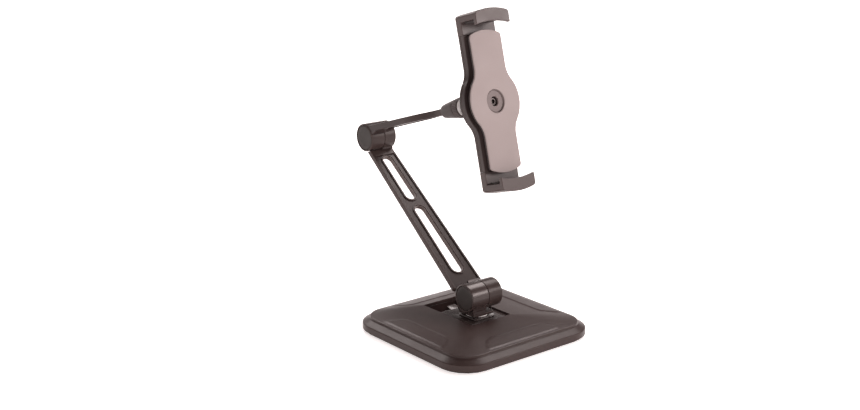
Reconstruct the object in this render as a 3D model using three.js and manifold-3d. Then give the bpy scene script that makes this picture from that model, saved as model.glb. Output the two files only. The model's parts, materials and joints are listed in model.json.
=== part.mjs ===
// A free-standing tablet stand: a weighted base with a dock, a swivelling pedestal, two hinged arms,
// a ball joint and a spring clamp whose two jaws run on one rack and pinion.
// Millimetres, +Z up. The clamp faces -Y, the hinge axes run along X, and the origin is the centre of
// the base where it meets the desk.
import * as THREE from 'three';
import { mergeVertices } from 'three/addons/utils/BufferGeometryUtils.js';
import Module from 'manifold-3d';

const wasm = await Module();
wasm.setup();

// Driving dimensions
const gap = 0.3;
const degree = Math.PI / 180;

const base = {
  half: 80, corner: 28.5, padTop: 1.5, padInset: 2, sideTop: 7.5, bevelInset: 7.1, bevelTop: 11.4,
  riserInset: 7.4, riserTop: 13.3, rimTop: 18.1, crown: 0.5, wall: 2.6, floorTop: 3.4,
  ballastInset: 8, ballastTop: 8.2, screwAt: 56, bossRadius: 4.8,
};
const dock = {
  halfX: 22.6, front: -25, back: 43.5, wall: 2.3, floorTop: 5.3, top: 14.8,
  railLength: 7.6, railPitch: 24, railFront: -23, railReach: 5, railBottom: 8, railTop: 10,
};
const foot = {
  halfX: 21.6, front: -24.4, back: 21.6, bodyHalfX: 17.3, bottom: 6, sheetBottom: 13.6, top: 16.6,
  tongueReach: 22.4, tongueTop: 7.7, travel: 10,
};
const latch = { halfX: 5, length: 10, bottom: 9.2, travel: 3, guideTop: 12, guideWall: 1.7 };
const swivel = {
  y: -5, plateHalf: 12, plateTop: 18.3, washerRadius: 10.5, washerTop: 19.4, boltRadius: 3, headRadius: 6.2,
  headBottom: 6.4, headTop: 10.2, boltTop: 23.9,
};
const pedestal = { footHalf: 11, footTop: 22.2, neckHalf: 10.5, neckLeft: -12.4, slantTop: 33.5 };

// Each hinge is a barrel along X, split into a left and a right knuckle.
const lowerHinge = { y: -8, z: 37.2, radius: 12.8, left: -17.4, right: 17.4, split: 1.4 };
const upperHinge = { radius: 13.4, left: -14.2, right: 14.2, split: 0.9 };
const hinge = {
  splitGap: 0.5, bevel: 1.1, capInset: 1.6, capDepth: 1.9, pocketRadius: 6.7, pocketDepth: 4.7,
  boltRadius: 3, headRadius: 6, washerRadius: 8, washerDepth: 0.9,
};
const lowerArm = {
  length: 194.3, angle: 38.2, plateBack: -9.1, plateFront: -4.5, lowHalf: 16.6, highHalf: 12.8,
  startY: 13.6, endY: 186, rimWidth: 1.8, rimHeight: 0.9, pocketEndY: 180, slotShare: 0.37,
  lowSlot: [30.3, 109], highSlot: [118.1, 171.6],
};
const upperArm = {
  angle: 17, plateBottom: 4.2, plateTop: 10.2, rootHalf: 13.6, tipHalf: 4.6, startY: -14.2,
  taperStartY: -64, taperEndY: -104, tipY: -113.3, rodRadius: 2.9, rodEndY: -122, rimWidth: 1.8, rimHeight: 0.9,
};
// The ball joint, measured from the ball's centre along the socket's axis.
const ball = {
  y: -136.86, z: 7.15, radius: 6.5, seatRadius: 6.8, collarBack: -4.1, collarFront: 3.9, collarRadius: 9.2,
  coneBack: -23.2, coneTipRadius: 6.2, coneRadius: 8.6, spigotRadius: 7.6, spigotFront: -1,
  seatOuter: 8.2, seatFront: 4.3, tilt: 1.4, pan: 2.8, roll: 1,
};
// The clamp: x across, y backward from the front face, z along the jaws' travel.
const clamp = {
  distance: 44.3, halfWidth: 17.9, bulgeRadius: 28.3, blendRadius: 20, endRadius: 42, halfLength: 61.3,
  cornerRadius: 3, panelBack: 1.4, frameInset: 0.4, frameBack: 3.4, coreInset: 2.6, coreBack: 6.2,
  shellRim: 1.5, shellFront: 6.5, shellBack: 13.5, shellEnd: 58, channelHalf: 14.5, channelBack: 11.1,
  bossRadius: 15, bossBack: 20.5, bossCavity: 12.5, cavityBack: 18.8,
  recessRadius: 10.15, recessFloor: 1.5, cupRadius: 11.4, cupBack: 3, holeRadius: 4.15,
};
const jaw = {
  halfWidth: 19.4, inner: 69.4, legFront: 6.8, legEnd: 58.3, lipFront: -12.5, lipBack: -9,
  top: 78, outerRadius: 68.6, lipInner: 66.9, lipRadius: 83, travel: 44, tongueHalf: 14, tongueThickness: 1.7,
  tongueEnd: 56, cornerRadius: 3, padThickness: 1.2,
};
const gear = { teeth: 20, pitchRadius: 7.5, addendum: 0.62, dedendum: 0.85, halfTooth: 0.46, flank: 20, bore: 3.6 };

// Finishes
const finish = {
  satinBlack: { color: 0x3a302f, roughness: 0.42, metalness: 0.15 },
  armPaint: { color: 0x40312f, roughness: 0.36, metalness: 0.35 },
  greyPanel: { color: 0xafa19e, roughness: 0.55, metalness: 0.05 },
  rubber: { color: 0x1d1a1a, roughness: 0.85, metalness: 0 },
  steel: { color: 0x8c8c8e, roughness: 0.35, metalness: 1 },
  nylon: { color: 0xe9e2df, roughness: 0.5, metalness: 0 },
};

// Helpers
function solid(geometry) {
  const bare = geometry.clone();
  bare.deleteAttribute('normal');
  bare.deleteAttribute('uv');
  const merged = mergeVertices(bare, 1e-4);
  const index = merged.index.array;
  const corners = [];
  for (let i = 0; i < index.length; i += 3) {
    const [a, b, c] = [index[i], index[i + 1], index[i + 2]];
    if (a !== b && b !== c && c !== a) corners.push(a, b, c);
  }
  const vertProperties = new Float32Array(merged.attributes.position.array);
  return new wasm.Manifold(new wasm.Mesh({ numProp: 3, vertProperties, triVerts: new Uint32Array(corners) }));
}

function join(...bodies) {
  return bodies.reduce((whole, body) => whole.add(body));
}

function cut(body, ...tools) {
  return tools.reduce((left, tool) => left.subtract(tool), body);
}

function piece(name, body, look) {
  const mesh = body.getMesh();
  const geometry = new THREE.BufferGeometry();
  geometry.setAttribute('position', new THREE.BufferAttribute(new Float32Array(mesh.vertProperties), 3));
  geometry.setIndex(new THREE.BufferAttribute(new Uint32Array(mesh.triVerts), 1));
  geometry.computeVertexNormals();
  const result = new THREE.Mesh(geometry, new THREE.MeshStandardMaterial(look));
  result.name = name;
  return result;
}

function block(x0, x1, y0, y1, z0, z1) {
  const geometry = new THREE.BoxGeometry(x1 - x0, y1 - y0, z1 - z0);
  return solid(geometry.translate((x0 + x1) / 2, (y0 + y1) / 2, (z0 + z1) / 2));
}

// A turned body: profile points are [radius, place along the axis], with the outside going up the axis.
function turned(axis, profile, sides = 22) {
  const points = profile.map(([radius, place]) => new THREE.Vector2(radius, place));
  const geometry = new THREE.LatheGeometry(points, sides);
  if (axis === 'x') geometry.rotateZ(-Math.PI / 2);
  if (axis === 'z') geometry.rotateX(Math.PI / 2);
  return solid(geometry);
}

function rod(axis, radius, start, end, sides = 18) {
  return turned(axis, [[0, start], [radius, start], [radius, end], [0, end]], sides);
}

function hexRod(axis, radius, start, end) {
  return rod(axis, radius, start, end, 6);
}

function bevelledRod(axis, radius, start, end, bevelStart, bevelEnd, sides = 28) {
  const profile = [[0, start], [radius - bevelStart, start], [radius, start + bevelStart],
    [radius, end - bevelEnd], [radius - bevelEnd, end], [0, end]];
  return turned(axis, profile, sides);
}

// Outlines are drawn in two axes and extruded along the third.
function extrudeZ(shape, z0, z1, curveSegments = 4) {
  const geometry = new THREE.ExtrudeGeometry(shape, { depth: z1 - z0, bevelEnabled: false, curveSegments });
  return solid(geometry.translate(0, 0, z0));
}

function extrudeY(shape, y0, y1, curveSegments = 4) {
  const geometry = new THREE.ExtrudeGeometry(shape, { depth: y1 - y0, bevelEnabled: false, curveSegments });
  return solid(geometry.rotateX(Math.PI / 2).translate(0, y1, 0));
}

function extrudeX(shape, x0, x1, curveSegments = 6) {
  const geometry = new THREE.ExtrudeGeometry(shape, { depth: x1 - x0, bevelEnabled: false, curveSegments });
  const turn = new THREE.Matrix4().makeBasis(
    new THREE.Vector3(0, 1, 0), new THREE.Vector3(0, 0, 1), new THREE.Vector3(1, 0, 0));
  return solid(geometry.applyMatrix4(turn).translate(x0, 0, 0));
}

function polygon(points) {
  return new THREE.Shape(points.map(([x, y]) => new THREE.Vector2(x, y)));
}

function roundedRectangle(x0, x1, y0, y1, radius) {
  const shape = new THREE.Shape();
  shape.absarc(x1 - radius, y0 + radius, radius, -Math.PI / 2, 0);
  shape.absarc(x1 - radius, y1 - radius, radius, 0, Math.PI / 2);
  shape.absarc(x0 + radius, y1 - radius, radius, Math.PI / 2, Math.PI);
  shape.absarc(x0 + radius, y0 + radius, radius, Math.PI, 1.5 * Math.PI);
  return shape;
}

function roundedSquare(half, radius) {
  return roundedRectangle(-half, half, -half, half, radius);
}

function around(angles, place) {
  return angles.map((angle) => place(Math.cos(angle), Math.sin(angle)));
}

// Base
const cornerSteps = 5;

// The same number of points on every ring lets rings of different shapes be lofted to each other.
function ring(x0, x1, y0, y1, radius, z) {
  const centres = [[x1 - radius, y0 + radius], [x1 - radius, y1 - radius], [x0 + radius, y1 - radius],
    [x0 + radius, y0 + radius]];
  return centres.flatMap(([cx, cy], corner) => Array.from({ length: cornerSteps + 1 }, (_, step) => {
    const angle = (corner - 1 + step / cornerSteps) * Math.PI / 2;
    return new THREE.Vector3(cx + radius * Math.cos(angle), cy + radius * Math.sin(angle), z);
  }));
}

function squareRing(inset, z) {
  const half = base.half - inset;
  return ring(-half, half, -half, half, base.corner - inset, z);
}

function squareOutline(inset) {
  return polygon(squareRing(inset, 0).map((point) => [point.x, point.y]));
}

function blendRings(low, high, share, z) {
  return low.map((point, i) => new THREE.Vector3().lerpVectors(point, high[i], share).setZ(z));
}

// Rings in order round the wall's section make one closed skin.
function loftLoop(rings) {
  const count = rings[0].length;
  const positions = rings.flat().flatMap((point) => [point.x, point.y, point.z]);
  const index = [];
  rings.forEach((_, r) => {
    const next = (r + 1) % rings.length;
    for (let i = 0; i < count; i += 1) {
      const j = (i + 1) % count;
      const [a, b, c, d] = [r * count + i, r * count + j, next * count + j, next * count + i];
      index.push(a, b, c, a, c, d);
    }
  });
  const geometry = new THREE.BufferGeometry();
  geometry.setAttribute('position', new THREE.Float32BufferAttribute(positions, 3));
  geometry.setIndex(index);
  return solid(geometry);
}

function facetHeight(share) {
  return base.riserTop + (base.rimTop - base.riserTop) * share + base.crown * Math.sin(Math.PI * share);
}

function dockRing(z) {
  return ring(-dock.halfX, dock.halfX, dock.front, dock.back, 1, z);
}

function baseCover() {
  const bottom = base.padTop + gap;
  const edge = squareRing(base.riserInset, base.riserTop);
  const innerEdge = squareRing(base.riserInset + base.wall, base.riserTop - base.wall);
  const shares = [0.33, 0.67];
  const skin = loftLoop([
    squareRing(0, bottom),
    squareRing(0, base.sideTop),
    squareRing(base.bevelInset, base.bevelTop),
    edge,
    ...shares.map((share) => blendRings(edge, dockRing(0), share, facetHeight(share))),
    dockRing(base.rimTop),
    dockRing(base.rimTop - base.wall),
    ...shares.toReversed().map((share) => blendRings(innerEdge, dockRing(0), share, facetHeight(share) - base.wall)),
    innerEdge,
    squareRing(base.wall, base.sideTop - 1),
    squareRing(base.wall, bottom),
  ]);
  const bosses = screwPlaces().map(([x, y]) => cut(
    rod('z', base.bossRadius, base.floorTop + gap, base.riserTop - 1),
    rod('z', 1.8, base.floorTop, base.riserTop - 2.5, 16)).translate(x, y, 0));
  return join(skin, ...bosses);
}

function screwPlaces() {
  const at = base.screwAt;
  return [[at, at], [-at, at], [-at, -at], [at, -at]];
}

function antiSlipPad() {
  return extrudeZ(squareOutline(base.padInset), 0, base.padTop);
}

function bottomPlate() {
  const plate = extrudeZ(squareOutline(base.wall + gap), base.padTop + gap, base.floorTop);
  return cut(plate, ...screwPlaces().map(([x, y]) => screwShape(gap).translate(x, y, 0)));
}

function ballastPlate() {
  const plate = extrudeZ(squareOutline(base.ballastInset), base.floorTop + gap, base.ballastTop);
  const clear = dock.wall + 2 * gap;
  const window = block(-dock.halfX - clear, dock.halfX + clear, dock.front - clear, dock.back + clear, 0, 20);
  const holes = screwPlaces().map(([x, y]) => rod('z', base.bossRadius + gap, 0, 20).translate(x, y, 0));
  return cut(plate, window, ...holes);
}

function screwShape(extra) {
  const headBottom = base.padTop + gap + 0.1 - extra;
  return turned('z', [[0, headBottom], [3.2 + extra, headBottom], [1.4 + extra, base.floorTop],
    [1.4 + extra, 9.5], [0, 9.5]], 16);
}

function baseScrews() {
  return screwPlaces().map(([x, y], i) => piece(`base_screw_${i + 1}`, screwShape(0).translate(x, y, 0),
    finish.steel));
}

function railPlaces() {
  return [dock.railFront, dock.railFront + dock.railPitch];
}

function dockTray() {
  const [x, y0, y1] = [dock.halfX + gap, dock.front - gap, dock.back + gap];
  const outside = block(-x - dock.wall, x + dock.wall, y0 - dock.wall, y1 + dock.wall, base.floorTop + gap, dock.top);
  const inside = block(-x, x, y0, y1, dock.floorTop, dock.top + 1);
  const rails = railPlaces().flatMap((start) => [-1, 1].map((side) => {
    const [near, far] = [side * (x - dock.railReach), side * (x + 0.5)];
    return block(Math.min(near, far), Math.max(near, far), start, start + dock.railLength + 0.4,
      dock.railBottom, dock.railTop);
  }));
  const guides = [-1, 1].map((side) => {
    const [near, far] = [side * (latch.halfX + gap), side * (latch.halfX + gap + latch.guideWall)];
    return block(Math.min(near, far), Math.max(near, far), foot.back + gap, foot.back + latch.length + 1,
      dock.floorTop - 0.5, latch.guideTop);
  });
  return join(cut(outside, inside), ...rails, ...guides);
}

// A wedge whose top follows the foot's back edge, so that the sliding foot presses it down.
function latchButton() {
  const start = foot.back + 0.4;
  const slope = latch.travel / foot.travel;
  const lowTop = foot.sheetBottom - gap;
  const highTop = lowTop + slope * latch.length;
  const wedge = extrudeX(polygon([[start, latch.bottom], [start + latch.length, latch.bottom],
    [start + latch.length, highTop], [start, lowTop]]), -latch.halfX, latch.halfX);
  const springPocket = rod('z', 2.6, latch.bottom - 1, latch.bottom + 1.2, 16).translate(0, start + 5, 0);
  return cut(wedge, springPocket);
}

function latchSpring() {
  const [start, end, turns, radius] = [dock.floorTop + gap + 0.3, latch.bottom + 0.6, 3, 1.9];
  const steps = turns * 10;
  const points = Array.from({ length: steps + 1 }, (_, i) => {
    const angle = i / 10 * 2 * Math.PI;
    return new THREE.Vector3(radius * Math.cos(angle), radius * Math.sin(angle), start + (end - start) * i / steps);
  });
  const path = new THREE.CatmullRomCurve3(points);
  const section = polygon(around([0, 1, 2, 3, 4].map((i) => i * 72 * degree), (c, s) => [0.3 * c, 0.3 * s]));
  const coil = new THREE.ExtrudeGeometry(section, { steps, bevelEnabled: false, extrudePath: path });
  return solid(coil.translate(0, foot.back + 5.4, 0));
}

// Foot, swivel and pedestal
function footPlate() {
  const sheet = extrudeZ(roundedRectangle(-foot.halfX, foot.halfX, foot.front, foot.back, 1.2),
    foot.sheetBottom, foot.top, 2);
  const body = block(-foot.bodyHalfX, foot.bodyHalfX, foot.front + 0.4, foot.back - 0.4, foot.bottom,
    foot.sheetBottom + 0.5);
  const tongues = railPlaces().map((start) => block(-foot.tongueReach, foot.tongueReach, start + 0.4,
    start + dock.railLength, foot.bottom, foot.tongueTop));
  const channelHalf = latch.halfX + latch.guideWall + 3 * gap;
  const channelStart = foot.back - foot.travel - 1;
  const channel = block(-channelHalf, channelHalf, channelStart, foot.back + 1, 0, foot.sheetBottom);
  const boltHole = rod('z', swivel.boltRadius + gap, 0, 30).translate(0, swivel.y, 0);
  const headPocket = rod('z', swivel.headRadius + gap, 0, swivel.headTop + gap).translate(0, swivel.y, 0);
  return cut(join(sheet, body, ...tongues), channel, boltHole, headPocket);
}

function swivelPlate() {
  const plate = extrudeZ(roundedSquare(swivel.plateHalf, 2), foot.top + gap, swivel.plateTop, 2);
  return cut(plate, rod('z', swivel.boltRadius + gap, 0, 30)).translate(0, swivel.y, 0);
}

function swivelWasher() {
  const ringBody = cut(rod('z', swivel.washerRadius, swivel.plateTop + gap, swivel.washerTop, 24),
    rod('z', swivel.boltRadius + gap, 0, 30));
  return ringBody.translate(0, swivel.y, 0);
}

function swivelBolt() {
  const bolt = join(hexRod('z', swivel.headRadius, swivel.headBottom, swivel.headTop),
    rod('z', swivel.boltRadius, swivel.headTop - 0.5, swivel.boltTop));
  return bolt.translate(0, swivel.y, 0);
}

function pedestalBracket() {
  const { y, z, radius, left, split } = lowerHinge;
  const right = split - hinge.splitGap / 2;
  const bottom = swivel.washerTop + gap;
  const { footHalf, footTop, neckHalf, neckLeft, slantTop } = pedestal;
  const footBlock = extrudeZ(roundedSquare(footHalf, 2.5), bottom, footTop, 2).translate(0, swivel.y, 0);
  const side = new THREE.Shape();
  side.moveTo(swivel.y - neckHalf, bottom + 0.5);
  side.lineTo(swivel.y + neckHalf, bottom + 0.5);
  side.absarc(y, z, radius, 10 * degree, 178 * degree);
  const neck = extrudeX(side, left, right, 10);
  const slant = extrudeY(polygon([[left - 5, 0], [neckLeft, 0], [neckLeft, footTop - 1], [left, slantTop],
    [left, 60], [left - 5, 60]]), -60, 60);
  const knuckle = bevelledRod('x', radius, left, right, hinge.bevel, 0).translate(0, y, z);
  const boltBore = rod('z', swivel.boltRadius + gap, 0, swivel.boltTop + gap).translate(0, swivel.y, 0);
  return cut(join(cut(neck, slant), footBlock, knuckle), hingeCore(lowerHinge).translate(0, y, z), boltBore);
}

// Hinge hardware: the stepped bore through both knuckles, and what sits in it
function hingeCore({ radius, left, right, split }) {
  const capRadius = radius - hinge.capInset;
  const bore = hinge.boltRadius + gap;
  const washer = hinge.washerRadius + gap;
  const [half, cap, pocket] = [hinge.washerDepth + hinge.splitGap / 2, hinge.capDepth, hinge.pocketDepth];
  return turned('x', [[0, left - 1], [capRadius, left - 1], [capRadius, left + cap],
    [hinge.pocketRadius, left + cap], [hinge.pocketRadius, left + cap + pocket], [bore, left + cap + pocket],
    [bore, split - half], [washer, split - half], [washer, split + half], [bore, split + half],
    [bore, right - cap - pocket], [hinge.pocketRadius, right - cap - pocket], [hinge.pocketRadius, right - cap],
    [capRadius, right - cap], [capRadius, right + 1], [0, right + 1]]);
}

function hingeBolt({ left, right }) {
  const headStart = left + hinge.capDepth + gap;
  const headEnd = left + hinge.capDepth + hinge.pocketDepth - gap;
  return join(hexRod('x', hinge.headRadius, headStart, headEnd),
    rod('x', hinge.boltRadius, headEnd - 0.5, right - hinge.capDepth - 2 * gap));
}

function hingeNut({ right }) {
  const start = right - hinge.capDepth - hinge.pocketDepth + gap;
  return cut(hexRod('x', hinge.headRadius, start, right - hinge.capDepth - gap),
    rod('x', hinge.boltRadius + gap, start - 1, right));
}

function hingeWasher({ split }) {
  const half = hinge.washerDepth + hinge.splitGap / 2 - gap;
  return cut(rod('x', hinge.washerRadius, split - half, split + half),
    rod('x', hinge.boltRadius + gap, split - 5, split + 5));
}

function hingeCap({ radius, left, right }, side) {
  const capRadius = radius - hinge.capInset - gap;
  const thickness = hinge.capDepth - gap - 0.3;
  if (side === 'left') return bevelledRod('x', capRadius, left + 0.3, left + 0.3 + thickness, 0.5, 0);
  return bevelledRod('x', capRadius, right - 0.3 - thickness, right - 0.3, 0, 0.5);
}

// Lower arm: origin on the lower hinge axis, +y along the arm, +z on its front side
function lowerArmHalf(y) {
  const share = (y - lowerArm.startY) / (lowerArm.endY - lowerArm.startY);
  return lowerArm.lowHalf + (lowerArm.highHalf - lowerArm.lowHalf) * share;
}

function armOutline(y0, y1, inset) {
  const [low, high] = [lowerArmHalf(y0) - inset, lowerArmHalf(y1) - inset];
  const round = 3;
  const shape = new THREE.Shape();
  shape.absarc(low - round, y0 + round, round, -Math.PI / 2, 0);
  shape.absarc(high - round, y1 - round, round, 0, Math.PI / 2);
  shape.absarc(round - high, y1 - round, round, Math.PI / 2, Math.PI);
  shape.absarc(round - low, y0 + round, round, Math.PI, 1.5 * Math.PI);
  return shape;
}

function slotOutline([y0, y1]) {
  const [low, high] = [lowerArmHalf(y0) * lowerArm.slotShare, lowerArmHalf(y1) * lowerArm.slotShare];
  const shape = new THREE.Shape();
  shape.absarc(0, y0 + low, low, Math.PI, 2 * Math.PI);
  shape.absarc(0, y1 - high, high, 0, Math.PI);
  return shape;
}

function knuckle({ radius, left, right, split }, side) {
  const half = hinge.splitGap / 2;
  if (side === 'left') return bevelledRod('x', radius, left, split - half, hinge.bevel, 0);
  return bevelledRod('x', radius, split + half, right, 0, hinge.bevel);
}

function lowerArmBody() {
  const { plateBack, plateFront, startY, endY, length } = lowerArm;
  const plate = extrudeZ(armOutline(startY, endY, 0), plateBack, plateFront, 3);
  const pocket = extrudeZ(armOutline(startY + lowerArm.rimWidth, lowerArm.pocketEndY, lowerArm.rimWidth),
    plateFront - lowerArm.rimHeight, plateFront + 1, 3);
  const slots = [lowerArm.lowSlot, lowerArm.highSlot].map((slot) => extrudeZ(slotOutline(slot), -20, 0, 5));
  const lowRight = lowerHinge.right - hinge.bevel;
  const highRight = upperHinge.right - hinge.bevel;
  const [lowLeft, highLeft] = [lowerHinge.split + 0.25, upperHinge.split + 0.25];
  const lowWeb = extrudeX(polygon([[0, plateBack], [startY + 6, plateBack], [startY + 6, plateFront],
    [startY - 2, plateFront + 2.4], [6, 6], [0, 0]]), lowLeft, lowRight);
  const highWeb = extrudeX(polygon([[endY - 6, plateBack], [length, plateBack], [length, 0], [length - 7, 6],
    [endY - 4.5, plateFront + 2], [endY - 7, plateFront]]), highLeft, highRight);
  const plateClear = join(rod('x', lowerHinge.radius + 0.5, -20, lowLeft, 28),
    rod('x', upperHinge.radius + 0.5, -20, highLeft, 28).translate(0, length, 0));
  const body = join(cut(plate, pocket, ...slots), lowWeb, highWeb, knuckle(lowerHinge, 'right'),
    knuckle(upperHinge, 'right').translate(0, length, 0));
  return cut(body, plateClear, hingeCore(lowerHinge), hingeCore(upperHinge).translate(0, length, 0));
}

// Upper arm: origin on the upper hinge axis, the arm runs along -y, +z on its top side
function upperArmOutline(inset) {
  const { rootHalf, tipHalf, startY, taperStartY, taperEndY, tipY } = upperArm;
  const [early, late] = [taperStartY - 22, taperEndY + 14];
  const [root, tip] = [rootHalf - inset, tipHalf - inset];
  const shape = new THREE.Shape();
  shape.moveTo(root, startY - inset);
  shape.lineTo(-root, startY - inset);
  shape.lineTo(-root, taperStartY);
  shape.bezierCurveTo(-root, early, -tip - 1.5, late, -tip, taperEndY);
  shape.lineTo(-tip, tipY + inset);
  shape.lineTo(tip, tipY + inset);
  shape.lineTo(tip, taperEndY);
  shape.bezierCurveTo(tip + 1.5, late, root, early, root, taperStartY);
  return shape;
}

function upperArmBody() {
  const { plateBottom, plateTop, startY, rodRadius, rodEndY, tipY, rimWidth, rimHeight } = upperArm;
  const plate = extrudeZ(upperArmOutline(0), plateBottom, plateTop, 5);
  const pocket = extrudeZ(upperArmOutline(rimWidth), plateTop - rimHeight, plateTop + 1, 5);
  const left = upperHinge.left + hinge.bevel;
  const right = upperHinge.split - 0.25;
  const web = extrudeX(polygon([[0, 0], [-6, -2], [startY - 9, plateBottom], [startY - 9, plateTop - rimHeight],
    [startY, plateTop], [0, plateTop + 1.3]]), left, right);
  const clear = rod('x', upperHinge.radius + 0.5, right, 20, 28);
  const tipRod = rod('y', rodRadius, rodEndY, tipY + 4, 16).translate(0, 0, ball.z);
  const body = join(cut(plate, pocket), web, knuckle(upperHinge, 'left'), tipRod);
  return cut(body, clear, hingeCore(upperHinge));
}

// Ball joint: origin at the ball's centre, the socket opens along -y
function alongSocket(profile, sides = 24) {
  return turned('y', profile.map(([radius, place]) => [radius, -place]).toReversed(), sides);
}

function cupArc(radius, startPlace, endPlace, steps = 3) {
  const [a0, a1] = [Math.asin(startPlace / radius), Math.asin(endPlace / radius)];
  return around(Array.from({ length: steps + 1 }, (_, i) => a0 + (a1 - a0) * i / steps),
    (c, s) => [radius * c, radius * s]);
}

function socketBody() {
  const { coneBack, coneTipRadius, coneRadius, spigotRadius, spigotFront, collarBack, seatRadius } = ball;
  const shoulder = collarBack - gap;
  const bore = upperArm.rodRadius + gap;
  const boreEnd = upperArm.rodEndY - ball.y - gap;
  return alongSocket([[0, -boreEnd], [bore, -boreEnd], [bore, coneBack], [coneTipRadius, coneBack],
    [coneRadius, shoulder], [spigotRadius, shoulder], [spigotRadius, spigotFront],
    ...cupArc(seatRadius, spigotFront, -seatRadius).slice(0, -1), [0, -seatRadius]]);
}

function lockCollar() {
  const { collarBack, collarFront, collarRadius, spigotRadius, seatOuter } = ball;
  const bevel = 0.6;
  const bore = spigotRadius + gap;
  const mouth = seatOuter + gap;
  return alongSocket([[bore, collarBack], [collarRadius - bevel, collarBack], [collarRadius, collarBack + bevel],
    [collarRadius, collarFront - bevel], [collarRadius - bevel / 2, collarFront], [mouth, collarFront],
    [mouth, 1.5], [bore, 1.5], [bore, collarBack]]);
}

function ballSeat() {
  const { seatRadius, spigotFront, seatOuter, spigotRadius, seatFront } = ball;
  const back = spigotFront + gap;
  const arc = cupArc(seatRadius, seatFront - 0.1, back);
  return alongSocket([[arc.at(-1)[0], back], [spigotRadius, back], [spigotRadius, 1.8], [seatOuter, 1.8],
    [seatOuter, seatFront], ...arc]);
}

function pivotBall() {
  return solid(new THREE.SphereGeometry(ball.radius, 16, 10));
}

// Shank between the ball and the clamp, in the clamp's frame: y runs backward to the ball
function ballShank() {
  const start = clamp.distance - ball.radius - 0.4;
  const flangeFront = clamp.bossBack + gap;
  return turned('y', [[0, 17], [1.9 + gap, 17], [1.9 + gap, 7], [3.2, 7], [3.2, flangeFront], [9.5, flangeFront],
    [9.5, flangeFront + 3], [7, flangeFront + 5.5], [2.8, flangeFront + 11], [2.8, start], [0, start]]);
}

function centreScrew() {
  const [headFront, headBack] = [3.6, 6.4];
  const body = turned('y', [[0, headFront], [3.6, headFront], [3.6, headBack], [1.9, headBack], [1.9, 16], [0, 16]]);
  return cut(body, hexRod('y', 2.1, headFront - 1, headFront + 1.8));
}

// Clamp body
function clampOutline(offset) {
  const { halfWidth, bulgeRadius, blendRadius, endRadius, halfLength, cornerRadius } = clamp;
  const blendX = halfWidth + blendRadius;
  const blendZ = Math.sqrt((bulgeRadius + blendRadius) ** 2 - blendX ** 2);
  const blendAngle = Math.atan2(blendZ, blendX);
  const arcZ = halfLength - endRadius;
  const cornerX = halfWidth - cornerRadius;
  const cornerZ = arcZ + Math.sqrt((endRadius - cornerRadius) ** 2 - cornerX ** 2);
  const arcAngle = Math.atan2(cornerX, cornerZ - arcZ);
  const [bulge, blend, corner, end] = [bulgeRadius + offset, blendRadius - offset, cornerRadius + offset,
    endRadius + offset];
  const [quarter, turn] = [Math.PI / 2, Math.PI];
  const shape = new THREE.Shape();
  shape.absarc(0, 0, bulge, -blendAngle, blendAngle);
  shape.absarc(blendX, blendZ, blend, turn + blendAngle, turn, true);
  shape.absarc(cornerX, cornerZ, corner, 0, quarter - arcAngle);
  shape.absarc(0, arcZ, end, quarter - arcAngle, quarter + arcAngle);
  shape.absarc(-cornerX, cornerZ, corner, quarter + arcAngle, turn);
  shape.absarc(-blendX, blendZ, blend, 0, -blendAngle, true);
  shape.absarc(0, 0, bulge, turn - blendAngle, turn + blendAngle);
  shape.absarc(-blendX, -blendZ, blend, blendAngle, 0, true);
  shape.absarc(-cornerX, -cornerZ, corner, turn, 3 * quarter - arcAngle);
  shape.absarc(0, -arcZ, end, 3 * quarter - arcAngle, 3 * quarter + arcAngle);
  shape.absarc(cornerX, -cornerZ, corner, 3 * quarter + arcAngle, 2 * turn);
  shape.absarc(blendX, -blendZ, blend, turn, turn - blendAngle, true);
  return shape;
}

function facePanel() {
  const { panelBack, recessRadius, recessFloor, cupRadius, cupBack, holeRadius } = clamp;
  const plate = extrudeY(clampOutline(0), 0, panelBack, 3);
  const cup = rod('y', cupRadius, panelBack - 0.5, cupBack, 28);
  const recess = rod('y', recessRadius, -1, recessFloor, 28);
  return cut(join(plate, cup), recess, rod('y', holeRadius, -1, 10));
}

function frontFrame() {
  const { frameInset, frameBack, coreInset, coreBack, panelBack, cupRadius, cupBack, holeRadius } = clamp;
  const bezel = extrudeY(clampOutline(-frameInset), panelBack + gap, frameBack, 3);
  const core = extrudeY(clampOutline(-coreInset), frameBack - 0.5, coreBack, 3);
  const cupSeat = rod('y', cupRadius + gap, 0, cupBack + gap, 28);
  const screws = shellScrewPlaces().map(([x, z]) => rod('y', 1.2 + gap, 3.6, 10, 12).translate(x, 0, z));
  return cut(join(bezel, core), cupSeat, rod('y', holeRadius, 0, 10), ...screws);
}

// The shell follows the panel's bulge and ends square, flush with the jaws.
function shellOutline() {
  const { halfWidth, bulgeRadius, blendRadius, shellRim, shellEnd } = clamp;
  const blendX = halfWidth + blendRadius;
  const blendZ = Math.sqrt((bulgeRadius + blendRadius) ** 2 - blendX ** 2);
  const blendAngle = Math.atan2(blendZ, blendX);
  const [half, bulge, blend] = [halfWidth + shellRim, bulgeRadius + shellRim, blendRadius - shellRim];
  const shape = new THREE.Shape();
  shape.absarc(0, 0, bulge, -blendAngle, blendAngle);
  shape.absarc(blendX, blendZ, blend, Math.PI + blendAngle, Math.PI, true);
  shape.lineTo(half, shellEnd);
  shape.lineTo(-half, shellEnd);
  shape.absarc(-blendX, blendZ, blend, 0, -blendAngle, true);
  shape.absarc(0, 0, bulge, Math.PI - blendAngle, Math.PI + blendAngle);
  shape.absarc(-blendX, -blendZ, blend, blendAngle, 0, true);
  shape.lineTo(-half, -shellEnd);
  shape.lineTo(half, -shellEnd);
  shape.absarc(blendX, -blendZ, blend, Math.PI, Math.PI - blendAngle, true);
  return shape;
}

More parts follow.
